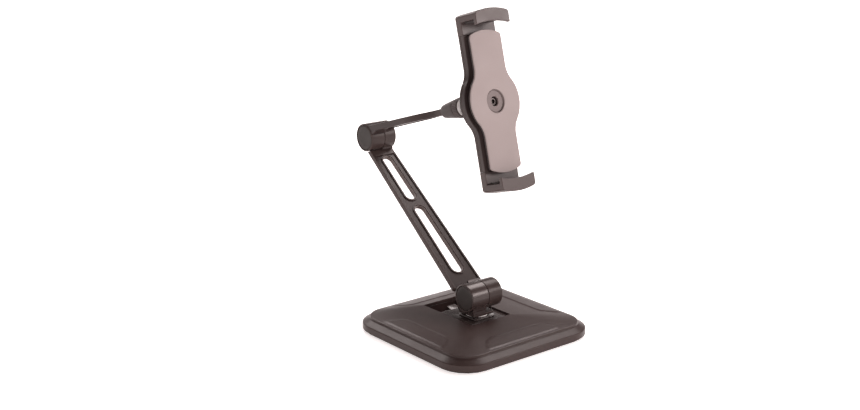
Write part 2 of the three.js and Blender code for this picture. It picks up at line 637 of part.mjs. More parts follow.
function backShell() {
  const { shellFront, shellBack, channelHalf, channelBack, bossRadius, bossBack, bossCavity, cavityBack } = clamp;
  const body = extrudeY(shellOutline(), shellFront, shellBack, 3);
  const channel = block(-channelHalf, channelHalf, 0, channelBack, -80, 80);
  const boss = bevelledRod('y', bossRadius, shellBack - 0.5, bossBack, 0, 1.2);
  const cavity = rod('y', bossCavity, shellFront, cavityBack, 24);
  const bore = rod('y', 3.2 + gap, 0, 30);
  const screws = shellScrewPlaces().map(([x, z]) => shellScrew(gap).translate(x, 0, z));
  return cut(join(body, boss), channel, cavity, bore, ...screws);
}

function shellScrewPlaces() {
  return [[20, 10], [-20, 10], [-20, -10], [20, -10]];
}

function shellScrew(extra) {
  const back = clamp.shellBack - 0.2;
  return turned('y', [[0, 4], [1.2 + extra, 4], [1.2 + extra, back - 1.4], [2.4 + extra, back], [0, back]], 12);
}

function shellScrews() {
  return shellScrewPlaces().map(([x, z], i) => piece(`shell_screw_${i + 1}`,
    shellScrew(0).translate(x, 0, z), finish.steel));
}

// Jaws: the upper one is drawn, and the lower one is the same turned half round about y
function jawBody(tongueFront) {
  const { halfWidth, inner, legFront, legEnd, lipFront, lipBack, top, outerRadius, lipInner, lipRadius } = jaw;
  const arcZ = top - outerRadius;
  const hook = extrudeX(polygon([[lipFront, inner - 8], [lipBack, inner - 8], [lipBack, inner], [legFront, inner],
    [legFront, legEnd], [clamp.shellBack, legEnd], [clamp.shellBack, top + 1], [lipFront, top + 1]]),
    -halfWidth, halfWidth);
  const round = jaw.cornerRadius;
  const endAngle = Math.acos((halfWidth - round) / (outerRadius - round));
  const outline = new THREE.Shape();
  outline.moveTo(-halfWidth, 0);
  outline.lineTo(halfWidth, 0);
  const cornerZ = arcZ + (outerRadius - round) * Math.sin(endAngle);
  outline.absarc(halfWidth - round, cornerZ, round, 0, endAngle);
  outline.absarc(0, arcZ, outerRadius, endAngle, Math.PI - endAngle);
  outline.absarc(round - halfWidth, cornerZ, round, Math.PI - endAngle, Math.PI);
  const lipCut = rod('y', lipRadius, lipFront - 1, lipBack + 0.01, 72).translate(0, 0, lipInner - lipRadius);
  const blank = cut(hook.intersect(extrudeY(outline, -20, 20, 4)), lipCut);
  const [back, end] = [tongueFront + jaw.tongueThickness, legEnd + 1];
  const tongue = extrudeY(polygon([[-jaw.tongueHalf, -jaw.tongueEnd], [jaw.tongueHalf, -jaw.tongueEnd],
    [jaw.tongueHalf, end], [-jaw.tongueHalf, end]]), tongueFront, back);
  return join(blank, cut(tongue, extrudeY(rackWindow(), tongueFront - 1, back + 1)));
}

// The window in a jaw's tongue, with the rack's teeth on its -x side
function rackWindow() {
  const pitch = 2 * Math.PI * gear.pitchRadius / gear.teeth;
  const slope = Math.tan(gear.flank * degree);
  const [tip, root] = [gear.pitchRadius - gear.addendum, gear.pitchRadius + gear.dedendum];
  const [tipHalf, rootHalf] = [gear.halfTooth - slope * gear.addendum, gear.halfTooth + slope * gear.dedendum];
  const [low, high] = [-jaw.travel - gear.pitchRadius - 1.6, gear.pitchRadius + 2];
  const points = [[high - 0.5, low], [high, low + 0.5], [high, high], [-root, high]];
  for (let tooth = Math.floor((high - rootHalf) / pitch); (tooth - 0.5) * pitch > low + rootHalf; tooth -= 1) {
    const z = (tooth - 0.5) * pitch;
    points.push([-root, z + rootHalf], [-tip, z + tipHalf], [-tip, z - tipHalf], [-root, z - rootHalf]);
  }
  points.push([-root, low]);
  return polygon(points.toReversed());
}

function jawPad() {
  const { inner, lipBack, padThickness } = jaw;
  return block(-17, 17, lipBack + gap, 5, inner - gap - padThickness, inner - gap);
}

function jawPinion() {
  const { teeth, pitchRadius, addendum, dedendum, halfTooth, flank, bore } = gear;
  const slope = Math.tan(flank * degree);
  const [tip, root] = [pitchRadius + addendum, pitchRadius - dedendum];
  const [tipHalf, rootHalf] = [(halfTooth - slope * addendum) / tip, (halfTooth + slope * dedendum) / root];
  const points = [];
  for (let tooth = 0; tooth < teeth; tooth += 1) {
    const middle = tooth / teeth * 2 * Math.PI;
    points.push(...around([middle - rootHalf], (c, s) => [root * c, root * s]),
      ...around([middle - tipHalf, middle + tipHalf], (c, s) => [tip * c, tip * s]),
      ...around([middle + rootHalf], (c, s) => [root * c, root * s]));
  }
  const wheel = extrudeY(polygon(points), clamp.shellFront + 0.6, clamp.channelBack - gap);
  const hub = rod('y', 5, clamp.channelBack - 1, clamp.cavityBack - 0.8);
  return cut(join(wheel, hub), rod('y', bore, 0, 30));
}

// A flat strip coiled round the pinion's hub
function pinionSpring() {
  const [turns, steps, start, growth, thickness] = [3.25, 39, 5.5, 1.9, 0.5];
  const angles = Array.from({ length: steps + 1 }, (_, i) => i / steps * turns * 2 * Math.PI);
  const spiral = (extra) => angles.map((angle) => {
    const radius = start + extra + growth * angle / (2 * Math.PI);
    return [radius * Math.cos(angle), radius * Math.sin(angle)];
  });
  return extrudeY(polygon([...spiral(thickness), ...spiral(0).toReversed()]), 12.4, 18.2);
}

// Assembly: each group is one link, placed on the hinge that carries it
const stand = new THREE.Group();
stand.add(
  piece('anti_slip_pad', antiSlipPad(), finish.rubber),
  piece('bottom_plate', bottomPlate(), finish.satinBlack),
  piece('ballast_plate', ballastPlate(), finish.steel),
  piece('base_cover', baseCover(), finish.satinBlack),
  ...baseScrews(),
  piece('dock_tray', dockTray(), finish.satinBlack),
  piece('latch_button', latchButton(), finish.satinBlack),
  piece('latch_spring', latchSpring(), finish.steel),
);

const footGroup = new THREE.Group();
footGroup.add(
  piece('foot_plate', footPlate(), finish.satinBlack),
  piece('swivel_plate', swivelPlate(), finish.satinBlack),
);
stand.add(footGroup);

const pedestalGroup = new THREE.Group();
pedestalGroup.add(
  piece('pedestal', pedestalBracket(), finish.armPaint),
  piece('swivel_bolt', swivelBolt(), finish.steel),
  piece('swivel_washer', swivelWasher(), finish.nylon),
);
footGroup.add(pedestalGroup);

function hingePieces(name, dimensions) {
  return [
    piece(`${name}_hinge_bolt`, hingeBolt(dimensions), finish.steel),
    piece(`${name}_hinge_nut`, hingeNut(dimensions), finish.steel),
    piece(`${name}_hinge_washer`, hingeWasher(dimensions), finish.nylon),
    piece(`${name}_hinge_cap_left`, hingeCap(dimensions, 'left'), finish.satinBlack),
    piece(`${name}_hinge_cap_right`, hingeCap(dimensions, 'right'), finish.satinBlack),
  ];
}

const lowerArmGroup = new THREE.Group();
lowerArmGroup.position.set(0, lowerHinge.y, lowerHinge.z);
lowerArmGroup.rotation.x = lowerArm.angle * degree;
lowerArmGroup.add(piece('lower_arm', lowerArmBody(), finish.armPaint), ...hingePieces('lower', lowerHinge));
pedestalGroup.add(lowerArmGroup);

const upperArmGroup = new THREE.Group();
upperArmGroup.position.set(0, lowerArm.length, 0);
upperArmGroup.rotation.x = -(lowerArm.angle + upperArm.angle) * degree;
upperArmGroup.add(piece('upper_arm', upperArmBody(), finish.armPaint), ...hingePieces('upper', upperHinge));
lowerArmGroup.add(upperArmGroup);

const socketGroup = new THREE.Group();
socketGroup.position.set(0, ball.y, ball.z);
socketGroup.add(
  piece('socket_body', socketBody(), finish.armPaint),
  piece('lock_collar', lockCollar(), finish.satinBlack),
  piece('ball_seat', ballSeat(), finish.nylon),
);
upperArmGroup.add(socketGroup);

const pivotGroup = new THREE.Group();
pivotGroup.rotation.set(ball.tilt * degree, ball.roll * degree, ball.pan * degree, 'XZY');
pivotGroup.add(piece('pivot_ball', pivotBall(), finish.steel));
socketGroup.add(pivotGroup);

const clampGroup = new THREE.Group();
clampGroup.position.set(0, -clamp.distance, 0);
clampGroup.add(
  piece('ball_shank', ballShank(), finish.steel),
  piece('centre_screw', centreScrew(), finish.steel),
  piece('back_shell', backShell(), finish.satinBlack),
  piece('front_frame', frontFrame(), finish.satinBlack),
  piece('face_panel', facePanel(), finish.greyPanel),
  ...shellScrews(),
  piece('jaw_pinion', jawPinion(), finish.nylon),
  piece('pinion_spring', pinionSpring(), finish.steel),
);
pivotGroup.add(clampGroup);

const layers = [clamp.shellFront + 0.6, clamp.shellFront + 0.6 + jaw.tongueThickness + gap];
['upper', 'lower'].forEach((name, i) => {
  const jawGroup = new THREE.Group();
  jawGroup.rotation.y = i * Math.PI;
  jawGroup.add(
    piece(`${name}_jaw`, jawBody(layers[i]), finish.satinBlack),
    piece(`${name}_jaw_pad`, jawPad(), finish.rubber),
  );
  clampGroup.add(jawGroup);
});

export default stand;
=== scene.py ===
import json
import math

import bmesh
import bpy
from mathutils import Matrix, Vector


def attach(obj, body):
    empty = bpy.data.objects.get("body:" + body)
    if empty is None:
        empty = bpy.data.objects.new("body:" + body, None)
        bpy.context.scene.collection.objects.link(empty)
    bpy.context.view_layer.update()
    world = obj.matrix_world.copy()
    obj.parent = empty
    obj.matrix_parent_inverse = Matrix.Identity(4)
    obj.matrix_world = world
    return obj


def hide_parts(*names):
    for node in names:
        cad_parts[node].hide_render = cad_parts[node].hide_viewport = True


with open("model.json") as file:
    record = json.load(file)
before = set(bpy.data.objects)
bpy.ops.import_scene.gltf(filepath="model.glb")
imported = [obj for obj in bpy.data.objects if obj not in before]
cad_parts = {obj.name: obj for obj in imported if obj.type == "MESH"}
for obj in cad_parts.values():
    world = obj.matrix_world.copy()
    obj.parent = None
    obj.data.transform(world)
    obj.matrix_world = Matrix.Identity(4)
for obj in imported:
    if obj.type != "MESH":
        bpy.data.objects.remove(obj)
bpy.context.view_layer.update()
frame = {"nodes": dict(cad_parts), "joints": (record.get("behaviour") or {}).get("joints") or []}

nodes = frame["nodes"]
joints = {j["name"]: j for j in frame["joints"]}
print("frame loaded:", len(nodes), "nodes")

# Everything below is drawn in millimetres in the frame of the link that carries it.

perMetre = 1000


def linkFrame(origin, xAxis, yAxis):
    x = Vector(xAxis).normalized()
    y = Vector(yAxis).normalized()
    link = Matrix((x, y, x.cross(y))).transposed().to_4x4()
    link.translation = Vector(origin) * perMetre
    return link


across = (1, 0, 0)
lowerPivot = Vector(joints["lower_hinge"]["pos_m"])
upperPivot = Vector(joints["upper_hinge"]["pos_m"])
socketAxis = Vector(joints["collar_turn"]["axis"])
clampFacing = Vector(joints["clamp_turn"]["axis"])
jawAxis = Vector(joints["jaw_open"]["axis"])
deskLink = Matrix.Identity(4)
lowerLink = linkFrame(lowerPivot, across, upperPivot - lowerPivot)
upperLink = linkFrame(upperPivot, across, -socketAxis)
ballLink = linkFrame(joints["ball_tilt"]["pos_m"], across, -socketAxis)
clampLink = linkFrame(joints["clamp_turn"]["pos_m"], jawAxis.cross(clampFacing), -clampFacing)
lowerJawLink = clampLink @ Matrix.Rotation(math.pi, 4, "Y")

# Mesh tools


def onAxis(axis, a, b, c):
    return {"x": (c, a, b), "y": (a, c, b), "z": (a, b, c)}[axis]


def finishSolid(bm, bevel=0.0, segments=3, sharpAngle=30):
    bmesh.ops.recalc_face_normals(bm, faces=bm.faces)
    mesh = bpy.data.meshes.new("work")
    bm.to_mesh(mesh)
    bm.free()
    work = bpy.data.objects.new("work", mesh)
    bpy.context.scene.collection.objects.link(work)
    if bevel:
        roundEdges(work, bevel, segments, sharpAngle, "MITER_ARC")
    return work


def roundEdges(work, width, segments, sharpAngle, miter="MITER_SHARP"):
    mod = work.modifiers.new("edge", "BEVEL")
    mod.width = width
    mod.segments = segments
    mod.limit_method = "ANGLE"
    mod.angle_limit = math.radians(sharpAngle)
    mod.miter_outer = miter
    applyModifiers(work)


def applyModifiers(work):
    depsgraph = bpy.context.evaluated_depsgraph_get()
    old = work.data
    made = bpy.data.meshes.new_from_object(work.evaluated_get(depsgraph))
    work.modifiers.clear()
    work.data = made
    bpy.data.meshes.remove(old)


def combine(work, tool, operation):
    mod = work.modifiers.new("combine", "BOOLEAN")
    mod.operation = operation
    mod.solver = "EXACT"
    mod.object = tool
    applyModifiers(work)
    mesh = tool.data
    bpy.data.objects.remove(tool)
    bpy.data.meshes.remove(mesh)
    return work


def fuse(work, *others):
    for other in others:
        combine(work, other, "UNION")
    return work


def carve(work, *tools):
    for tool in tools:
        combine(work, tool, "DIFFERENCE")
    return work


def shift(work, *offset):
    work.data.transform(Matrix.Translation(offset))
    return work


def bridge(bm, rings):
    count = len(rings[0])
    for one, two in zip(rings, rings[1:] + rings[:1]):
        for i in range(count):
            j = (i + 1) % count
            bm.faces.new((one[i], one[j], two[j], two[i]))


def turned(axis, profile, bevel=0.0, sides=96, segments=3, sharpAngle=30):
    bm = bmesh.new()
    rings = []
    for radius, place in profile:
        if radius < 1e-6:
            rings.append([bm.verts.new(onAxis(axis, 0, 0, place))] * sides)
            continue
        rings.append([bm.verts.new(onAxis(axis, radius * math.cos(i * math.tau / sides),
                                          radius * math.sin(i * math.tau / sides), place))
                      for i in range(sides)])
    pairs = list(zip(rings, rings[1:]))
    if profile[0][0] > 1e-6:
        pairs.append((rings[-1], rings[0]))
    for one, two in pairs:
        for i in range(sides):
            j = (i + 1) % sides
            corners = list(dict.fromkeys((one[i], one[j], two[j], two[i])))
            if len(corners) > 2:
                bm.faces.new(corners)
    return finishSolid(bm, bevel, segments, sharpAngle)


def rod(axis, radius, start, end, bevel=0.0, sides=96):
    return turned(axis, [(0, start), (radius, start), (radius, end), (0, end)], bevel, sides)


# Two outline points on the same spot break the booleans
def apart(loop):
    pairs = zip(loop, loop[-1:] + loop[:-1])
    return [point for point, before in pairs if math.dist(point, before) > 0.001]


def prism(axis, loops, low, high, bevel=0.0, segments=3, sharpAngle=30):
    bm = bmesh.new()
    edges = []
    for loop in map(apart, loops):
        verts = [bm.verts.new(onAxis(axis, a, b, low)) for a, b in loop]
        edges += [bm.edges.new((verts[i - 1], verts[i])) for i in range(len(verts))]
    filled = bmesh.ops.triangle_fill(bm, use_beauty=True, use_dissolve=False, edges=edges)
    faces = [g for g in filled["geom"] if isinstance(g, bmesh.types.BMFace)]
    raised = bmesh.ops.extrude_face_region(bm, geom=faces)
    lift = Vector(onAxis(axis, 0, 0, high - low))
    for vert in [g for g in raised["geom"] if isinstance(g, bmesh.types.BMVert)]:
        vert.co += lift
    bmesh.ops.dissolve_limit(bm, angle_limit=math.radians(0.1), verts=bm.verts, edges=bm.edges)
    return finishSolid(bm, bevel, segments, sharpAngle)


def bar(x0, x1, y0, y1, z0, z1, bevel=0.0):
    return prism("z", [[(x0, y0), (x1, y0), (x1, y1), (x0, y1)]], z0, z1, bevel)


def arc(cx, cy, radius, start, end, steps):
    return [(cx + radius * math.cos(math.radians(start + (end - start) * i / steps)),
             cy + radius * math.sin(math.radians(start + (end - start) * i / steps)))
            for i in range(steps + 1)]


def roundedBox(x0, x1, y0, y1, radius, steps=8):
    return (arc(x1 - radius, y0 + radius, radius, -90, 0, steps) + arc(x1 - radius, y1 - radius,
                                                                       radius, 0, 90, steps)
            + arc(x0 + radius, y1 - radius, radius, 90, 180, steps)
            + arc(x0 + radius, y0 + radius, radius, 180, 270, steps))


def giveFinish(work, material):
    work.data.materials.clear()
    work.data.materials.append(material)
    for polygon in work.data.polygons:
        polygon.use_smooth = True
        polygon.material_index = 0


def place(work, name, link, body, slotName, material, *replaced, sharpAngle=32):
    work.data.transform(Matrix.Scale(1 / perMetre, 4) @ link)
    work.name = work.data.name = name
    giveFinish(work, material)
    work.data.set_sharp_from_angle(angle=math.radians(sharpAngle))
    even = work.modifiers.new("evenNormals", "WEIGHTED_NORMAL")
    even.keep_sharp = True
    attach(work, body)
    if replaced:
        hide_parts(*replaced)
    return work


# A CAD piece whose shape is right gets rounded edges and a finish
def dress(nodeNames, material, bevel):
    for nodeName in nodeNames:
        node = nodes[nodeName]
        giveFinish(node, material)
        weld = node.modifiers.new("weld", "WELD")
        weld.merge_threshold = 2e-6
        flat = node.modifiers.new("flat", "DECIMATE")
        flat.decimate_type = "DISSOLVE"
        flat.angle_limit = math.radians(0.6)
        edge = node.modifiers.new("edge", "BEVEL")
        edge.width = bevel / perMetre
        edge.segments = 2
        edge.limit_method = "ANGLE"
        edge.angle_limit = math.radians(35)
        edge.harden_normals = True


# Finishes


def nodeTools(material):
    tree = material.node_tree
    shader = tree.nodes["Principled BSDF"]

    def add(kind, **settings):
        made = tree.nodes.new(kind)
        for key, value in settings.items():
            if key in made.inputs:
                made.inputs[key].default_value = value
            else:
                setattr(made, key, value)
        return made

    return shader, add, tree.links.new


# where the painted shade at the bottom of the panel's dish ends, in metres from its centre
washerEdge = (0.0099, 0.0102)


def moulded(name, look):
    material = bpy.data.materials.new(name)
    material.use_nodes = True
    shader, add, link = nodeTools(material)
    where = add("ShaderNodeTexCoord").outputs["Object"]
    shader.inputs["Metallic"].default_value = look.get("metallic", 0.0)
    shader.inputs["Coat Weight"].default_value = look.get("coat", 0.0)
    shader.inputs["Coat Roughness"].default_value = look.get("coatRoughness", 0.2)
    shader.inputs["Specular IOR Level"].default_value = look.get("specular", 0.5)

    if look.get("stretch"):
        mapping = add("ShaderNodeMapping")
        mapping.inputs["Scale"].default_value = look["stretch"]
        link(where, mapping.inputs["Vector"])
        grainWhere = mapping.outputs["Vector"]
    else:
        grainWhere = where

    # broad, faint shifts of tone over the piece, lighter along worn edges
    tone = add("ShaderNodeTexNoise", Scale=look.get("toneScale", 22.0), Detail=3.0)
    link(where, tone.inputs["Vector"])
    toneMix = add("ShaderNodeMix", data_type="RGBA")
    toneMix.inputs["A"].default_value = (*look["color"], 1)
    toneMix.inputs["B"].default_value = (*look["tone"], 1)
    link(tone.outputs["Fac"], toneMix.inputs["Factor"])
    geometry = add("ShaderNodeNewGeometry")
    edges = add("ShaderNodeMapRange", **{"From Min": 0.515, "From Max": 0.6, "To Min": 0.0,
                                         "To Max": look.get("wear", 0.35)})
    link(geometry.outputs["Pointiness"], edges.inputs["Value"])
    wearMix = add("ShaderNodeMix", data_type="RGBA")
    wearMix.inputs["B"].default_value = (*look["worn"], 1)
    link(edges.outputs["Result"], wearMix.inputs["Factor"])
    link(toneMix.outputs["Result"], wearMix.inputs["A"])
    link(wearMix.outputs["Result"], shader.inputs["Base Color"])

    # painted shade: a darker disc at the bottom of the panel's dish, standing in for the shade
    # inside the recess
    if look.get("washer"):
        fromAxis = add("ShaderNodeVectorMath", operation="SUBTRACT")
        fromAxis.inputs[1].default_value = clampLink.translation / perMetre
        link(where, fromAxis.inputs[0])
        sideways = add("ShaderNodeVectorMath", operation="CROSS_PRODUCT")
        sideways.inputs[1].default_value = clampFacing.normalized()
        link(fromAxis.outputs["Vector"], sideways.inputs[0])
        radius = add("ShaderNodeVectorMath", operation="LENGTH")
        link(sideways.outputs["Vector"], radius.inputs[0])
        inside = add("ShaderNodeMapRange", **{"From Min": washerEdge[0], "From Max": washerEdge[1],
                                              "To Min": 1.0, "To Max": 0.0})
        link(radius.outputs["Value"], inside.inputs["Value"])
        washerMix = add("ShaderNodeMix", data_type="RGBA")
        washerMix.inputs["B"].default_value = (*look["washer"], 1)
        link(inside.outputs["Result"], washerMix.inputs["Factor"])
        link(wearMix.outputs["Result"], washerMix.inputs["A"])
        link(washerMix.outputs["Result"], shader.inputs["Base Color"])

    # handling marks change the gloss
    smear = add("ShaderNodeTexNoise", Scale=look.get("smearScale", 60.0), Detail=5.0, Roughness=0.6)
    link(grainWhere, smear.inputs["Vector"])
    gloss = add("ShaderNodeMapRange", **{"From Min": 0.3, "From Max": 0.7,
                                         "To Min": look["gloss"][0], "To Max": look["gloss"][1]})
    link(smear.outputs["Fac"], gloss.inputs["Value"])
    link(gloss.outputs["Result"], shader.inputs["Roughness"])

    # the fine texture of the mould or the paint
    if look.get("pattern") == "cells":
        grain = add("ShaderNodeTexVoronoi", Scale=look["grainScale"])
        link(grainWhere, grain.inputs["Vector"])
        height = grain.outputs["Distance"]
    else:
        grain = add("ShaderNodeTexNoise", Scale=look["grainScale"], Detail=4.0, Roughness=0.55)
        link(grainWhere, grain.inputs["Vector"])
        height = grain.outputs["Fac"]
    bump = add("ShaderNodeBump", Strength=look["bump"], Distance=look.get("bumpDepth", 0.0001))
    link(height, bump.inputs["Height"])
    link(bump.outputs["Normal"], shader.inputs["Normal"])
    return material


looks = {
    "basePlastic": dict(color=(0.034, 0.020, 0.018), tone=(0.042, 0.026, 0.024),
                        worn=(0.10, 0.072, 0.068), gloss=(0.31, 0.38), grainScale=2400, bump=0.14,
                        wear=0.3, specular=0.22),
    "footPlastic": dict(color=(0.024, 0.016, 0.015), tone=(0.032, 0.022, 0.021),
                        worn=(0.13, 0.10, 0.095), gloss=(0.20, 0.28), grainScale=2000, bump=0.10,
                        coat=0.25, coatRoughness=0.12, wear=0.4),
    "armPaint": dict(color=(0.026, 0.016, 0.015), tone=(0.034, 0.022, 0.020),
                     worn=(0.15, 0.11, 0.10), gloss=(0.29, 0.37), metallic=0.04, grainScale=1700,
                     bump=0.16, wear=0.5, specular=0.2),
    "barrelPaint": dict(color=(0.036, 0.023, 0.021), tone=(0.046, 0.031, 0.029),
                        worn=(0.18, 0.14, 0.13), gloss=(0.25, 0.31), metallic=0.1, grainScale=420,
                        stretch=(0.12, 4.0, 4.0), bump=0.12, wear=0.15, specular=0.4),
    "capPlastic": dict(color=(0.020, 0.014, 0.012), tone=(0.025, 0.018, 0.016),
                       worn=(0.11, 0.085, 0.08), gloss=(0.42, 0.52), grainScale=2600, bump=0.18,
                       wear=0.35, specular=0.25),
    "clampPlastic": dict(color=(0.024, 0.016, 0.015), tone=(0.031, 0.021, 0.020),
                         worn=(0.11, 0.082, 0.078), gloss=(0.35, 0.43), grainScale=2400, bump=0.16,
                         wear=0.4, specular=0.3),
    "jawPlastic": dict(color=(0.044, 0.029, 0.027), tone=(0.056, 0.038, 0.036),
                       worn=(0.15, 0.11, 0.105), gloss=(0.34, 0.42), grainScale=2300, bump=0.16,
                       wear=0.4, specular=0.36),
    # the grey panel's darker dish colour is painted shade for the inside of its recess
    "panelGrey": dict(color=(0.268, 0.216, 0.208), tone=(0.284, 0.230, 0.222),
                      worn=(0.50, 0.43, 0.41), gloss=(0.48, 0.56), grainScale=3000, bump=0.10,
                      toneScale=9.0, wear=0.0, washer=(0.15, 0.113, 0.108)),
    "screwHead": dict(color=(0.035, 0.026, 0.025), tone=(0.045, 0.034, 0.033),
                      worn=(0.2, 0.18, 0.17), gloss=(0.3, 0.4), metallic=0.6, grainScale=1800,
                      bump=0.1, wear=0.5),
    "steel": dict(color=(0.50, 0.48, 0.47), tone=(0.58, 0.56, 0.55), worn=(0.75, 0.73, 0.72),
                  gloss=(0.24, 0.36), metallic=1.0, grainScale=900, stretch=(0.3, 2.5, 2.5),
                  bump=0.08, wear=0.5),
    "ballSteel": dict(color=(0.36, 0.33, 0.32), tone=(0.42, 0.39, 0.38), worn=(0.6, 0.57, 0.56),
                      gloss=(0.14, 0.24), metallic=1.0, grainScale=1500, bump=0.04, wear=0.3),
    "nylon": dict(color=(0.92, 0.89, 0.88), tone=(0.94, 0.91, 0.90), worn=(0.95, 0.93, 0.92),
                  gloss=(0.38, 0.5), grainScale=1500, bump=0.08, wear=0.2),
    "rubber": dict(color=(0.022, 0.016, 0.015), tone=(0.030, 0.023, 0.022),
                   worn=(0.07, 0.055, 0.052), gloss=(0.72, 0.86), grainScale=620, pattern="cells",
                   bump=0.35, bumpDepth=0.0002, wear=0.3),
}
finish = {name: moulded(name, look) for name, look in looks.items()}
print("finishes mixed:", len(finish))

# Base

base = dict(half=80.0, corner=28.5, rimTop=18.1, facetFoot=13.3, crown=0.5, facetInset=7.4,
            cornerSteps=18, sideSteps=56, facetSteps=52, panelOuter=3.2, panelInner=19.0,
            panelReach=43.0, panelSlant=0.82, panelCorner=5.0, panelHeight=0.38, panelEdge=1.1)
dock = dict(halfX=22.6, front=-25.0, back=43.5)


def evenRing(x0, x1, y0, y1, radius):
    centres = [(x1 - radius, y0 + radius, -90), (x1 - radius, y1 - radius, 0),
               (x0 + radius, y1 - radius, 90), (x0 + radius, y0 + radius, 180)]
    corners = [arc(cx, cy, radius, turn, turn + 90, base["cornerSteps"]) for cx, cy,
               turn in centres]
    ring = []
    for i, corner in enumerate(corners):
        ring += corner
        (ax, ay), (bx, by) = corner[-1], corners[(i + 1) % 4][0]
        for step in range(1, base["sideSteps"]):
            share = step / base["sideSteps"]
            ring.append((ax + (bx - ax) * share, ay + (by - ay) * share))
    return ring


def squareRing(inset):
    half = base["half"] - inset
    return evenRing(-half, half, -half, half, base["corner"] - inset)


# the raised panel along each outer edge, as a height between 0 and 1
def panelRise(x, y):
    outer = base["half"] - base["facetInset"]
    along, out = (y, abs(x)) if abs(x) > abs(y) else (x, abs(y))
    depth = outer - out
    middle = (base["panelOuter"] + base["panelInner"]) / 2
    halfDepth = (base["panelInner"] - base["panelOuter"]) / 2
    reach = base["panelReach"] - (depth - base["panelOuter"]) * base["panelSlant"]
    corner = base["panelCorner"]
    da = abs(along) - reach + corner
    dd = abs(depth - middle) - halfDepth + corner
    outside = math.hypot(max(da, 0), max(dd, 0)) + min(max(da, dd), 0) - corner
    share = min(max(0.5 - outside / base["panelEdge"], 0), 1)
    return share * share * (3 - 2 * share)


def makeBaseCover():
    dockRing = evenRing(-dock["halfX"], dock["halfX"], dock["front"], dock["back"], 1.0)
    edge = squareRing(base["facetInset"])
    section = [(0.5, 1.8), (0.1, 2.0), (0, 2.5), (0, 7.1), (0.08, 7.5), (0.35, 7.85), (0.8, 8.15),
               (6.1, 11.0), (6.6, 11.32), (6.85, 11.7), (6.95, 12.2), (6.98, 12.8), (7.1, 13.1),
               (7.4, 13.3)]
    bm = bmesh.new()
    rings = [[bm.verts.new((x, y, z)) for x, y in squareRing(inset)] for inset, z in section]
    steps = base["facetSteps"]
    for step in range(1, steps):
        share = step / steps
        height = base["facetFoot"] + (base["rimTop"] - base["facetFoot"]) * share
        height += base["crown"] * math.sin(math.pi * share)
        ring = []
        for (ax, ay), (bx, by) in zip(edge, dockRing):
            x, y = ax + (bx - ax) * share, ay + (by - ay) * share
            ring.append(bm.verts.new((x, y, height + base["panelHeight"] * panelRise(x, y))))
        rings.append(ring)
    lip = [(0.25, 0.02), (0.05, -0.12), (0, -0.4)]
    for grow, drop in lip:
        ring = evenRing(-dock["halfX"] - grow, dock["halfX"] + grow, dock["front"] - grow,
                        dock["back"] + grow, 1.0)
        rings.append([bm.verts.new((x, y, base["rimTop"] + drop)) for x, y in ring])
    rings.append([bm.verts.new((x, y, 15.5)) for x, y in dockRing])
    for share in (0.67, 0.33, 0):
        inner = squareRing(10.0)
        height = 10.7 + (15.5 - 10.7) * share
        rings.append([bm.verts.new((ax + (bx - ax) * share, ay + (by - ay) * share, height))
                      for (ax, ay), (bx, by) in zip(inner, dockRing)])
    for inset, z in ((2.6, 6.5), (2.6, 1.8)):
        rings.append([bm.verts.new((x, y, z)) for x, y in squareRing(inset)])
    bridge(bm, rings)
    return finishSolid(bm)


place(makeBaseCover(), "baseShell", deskLink, "base", "base_plastic", finish["basePlastic"],
      "base_cover", sharpAngle=50)
dress(["anti_slip_pad"], finish["rubber"], 0.5)
dress(["bottom_plate", "dock_tray"], finish["basePlastic"], 0.35)
dress(["ballast_plate", "base_screw_1", "base_screw_2", "base_screw_3", "base_screw_4"],
      finish["steel"], 0.3)
dress(["latch_spring", "pinion_spring"], finish["steel"], 0.05)
dress(["latch_button"], finish["footPlastic"], 0.5)
dress(["foot_plate"], finish["footPlastic"], 0.45)
dress(["swivel_plate"], finish["footPlastic"], 0.35)
dress(["swivel_bolt", "lower_hinge_bolt", "lower_hinge_nut", "upper_hinge_bolt", "upper_hinge_nut"],
      finish["steel"], 0.3)
dress(["swivel_washer", "lower_hinge_washer", "upper_hinge_washer", "jaw_pinion"], finish["nylon"],
      0.15)
print("base made")

# Hinges

lowerHinge = dict(radius=12.8, left=-17.4, right=17.4, split=1.4)
upperHinge = dict(radius=13.4, left=-14.2, right=14.2, split=0.9)
hinge = dict(splitGap=0.5, rim=1.1, capInset=1.6, capDepth=1.9, pocketRadius=6.7, pocketDepth=4.7,
             boltBore=3.3, washerBore=8.3, washerDepth=0.9)


def knuckle(h, side):
    half = hinge["splitGap"] / 2
    start, end = (h["left"], h["split"] - half) if side == "left" else (h["split"] + half,
                                                                        h["right"])
    radius, rim = h["radius"], hinge["rim"]
    outer = [(radius - rim, start), (radius - rim * 0.55, start + rim * 0.1),
             (radius - rim * 0.1, start + rim * 0.5), (radius, start + rim * 1.1),
             (radius, end - 0.45), (radius - 0.12, end - 0.13), (radius - 0.45, end)]
    if side == "right":
        outer = [(r, start + end - p) for r, p in reversed(outer)]
    return turned("x", [(0, start), *outer, (0, end)], sides=128)


def hingeCore(h):
    cap, pocket = hinge["capDepth"], hinge["pocketDepth"]
    capRadius = h["radius"] - hinge["capInset"]
    half = hinge["washerDepth"] + hinge["splitGap"] / 2
    left, right, split = h["left"], h["right"], h["split"]
    bore, washer, hole = hinge["boltBore"], hinge["washerBore"], hinge["pocketRadius"]
    return turned("x", [
        (0, left - 2), (capRadius + 0.35, left - 2), (capRadius + 0.35, left),
        (capRadius, left + 0.35), (capRadius, left + cap), (hole, left + cap),
        (hole, left + cap + pocket), (bore, left + cap + pocket), (bore, split - half),
        (washer, split - half), (washer, split + half), (bore, split + half),
        (bore, right - cap - pocket), (hole, right - cap - pocket), (hole, right - cap),
        (capRadius, right - cap), (capRadius, right - 0.35), (capRadius + 0.35, right),
        (capRadius + 0.35, right + 2), (0, right + 2)], sides=116)


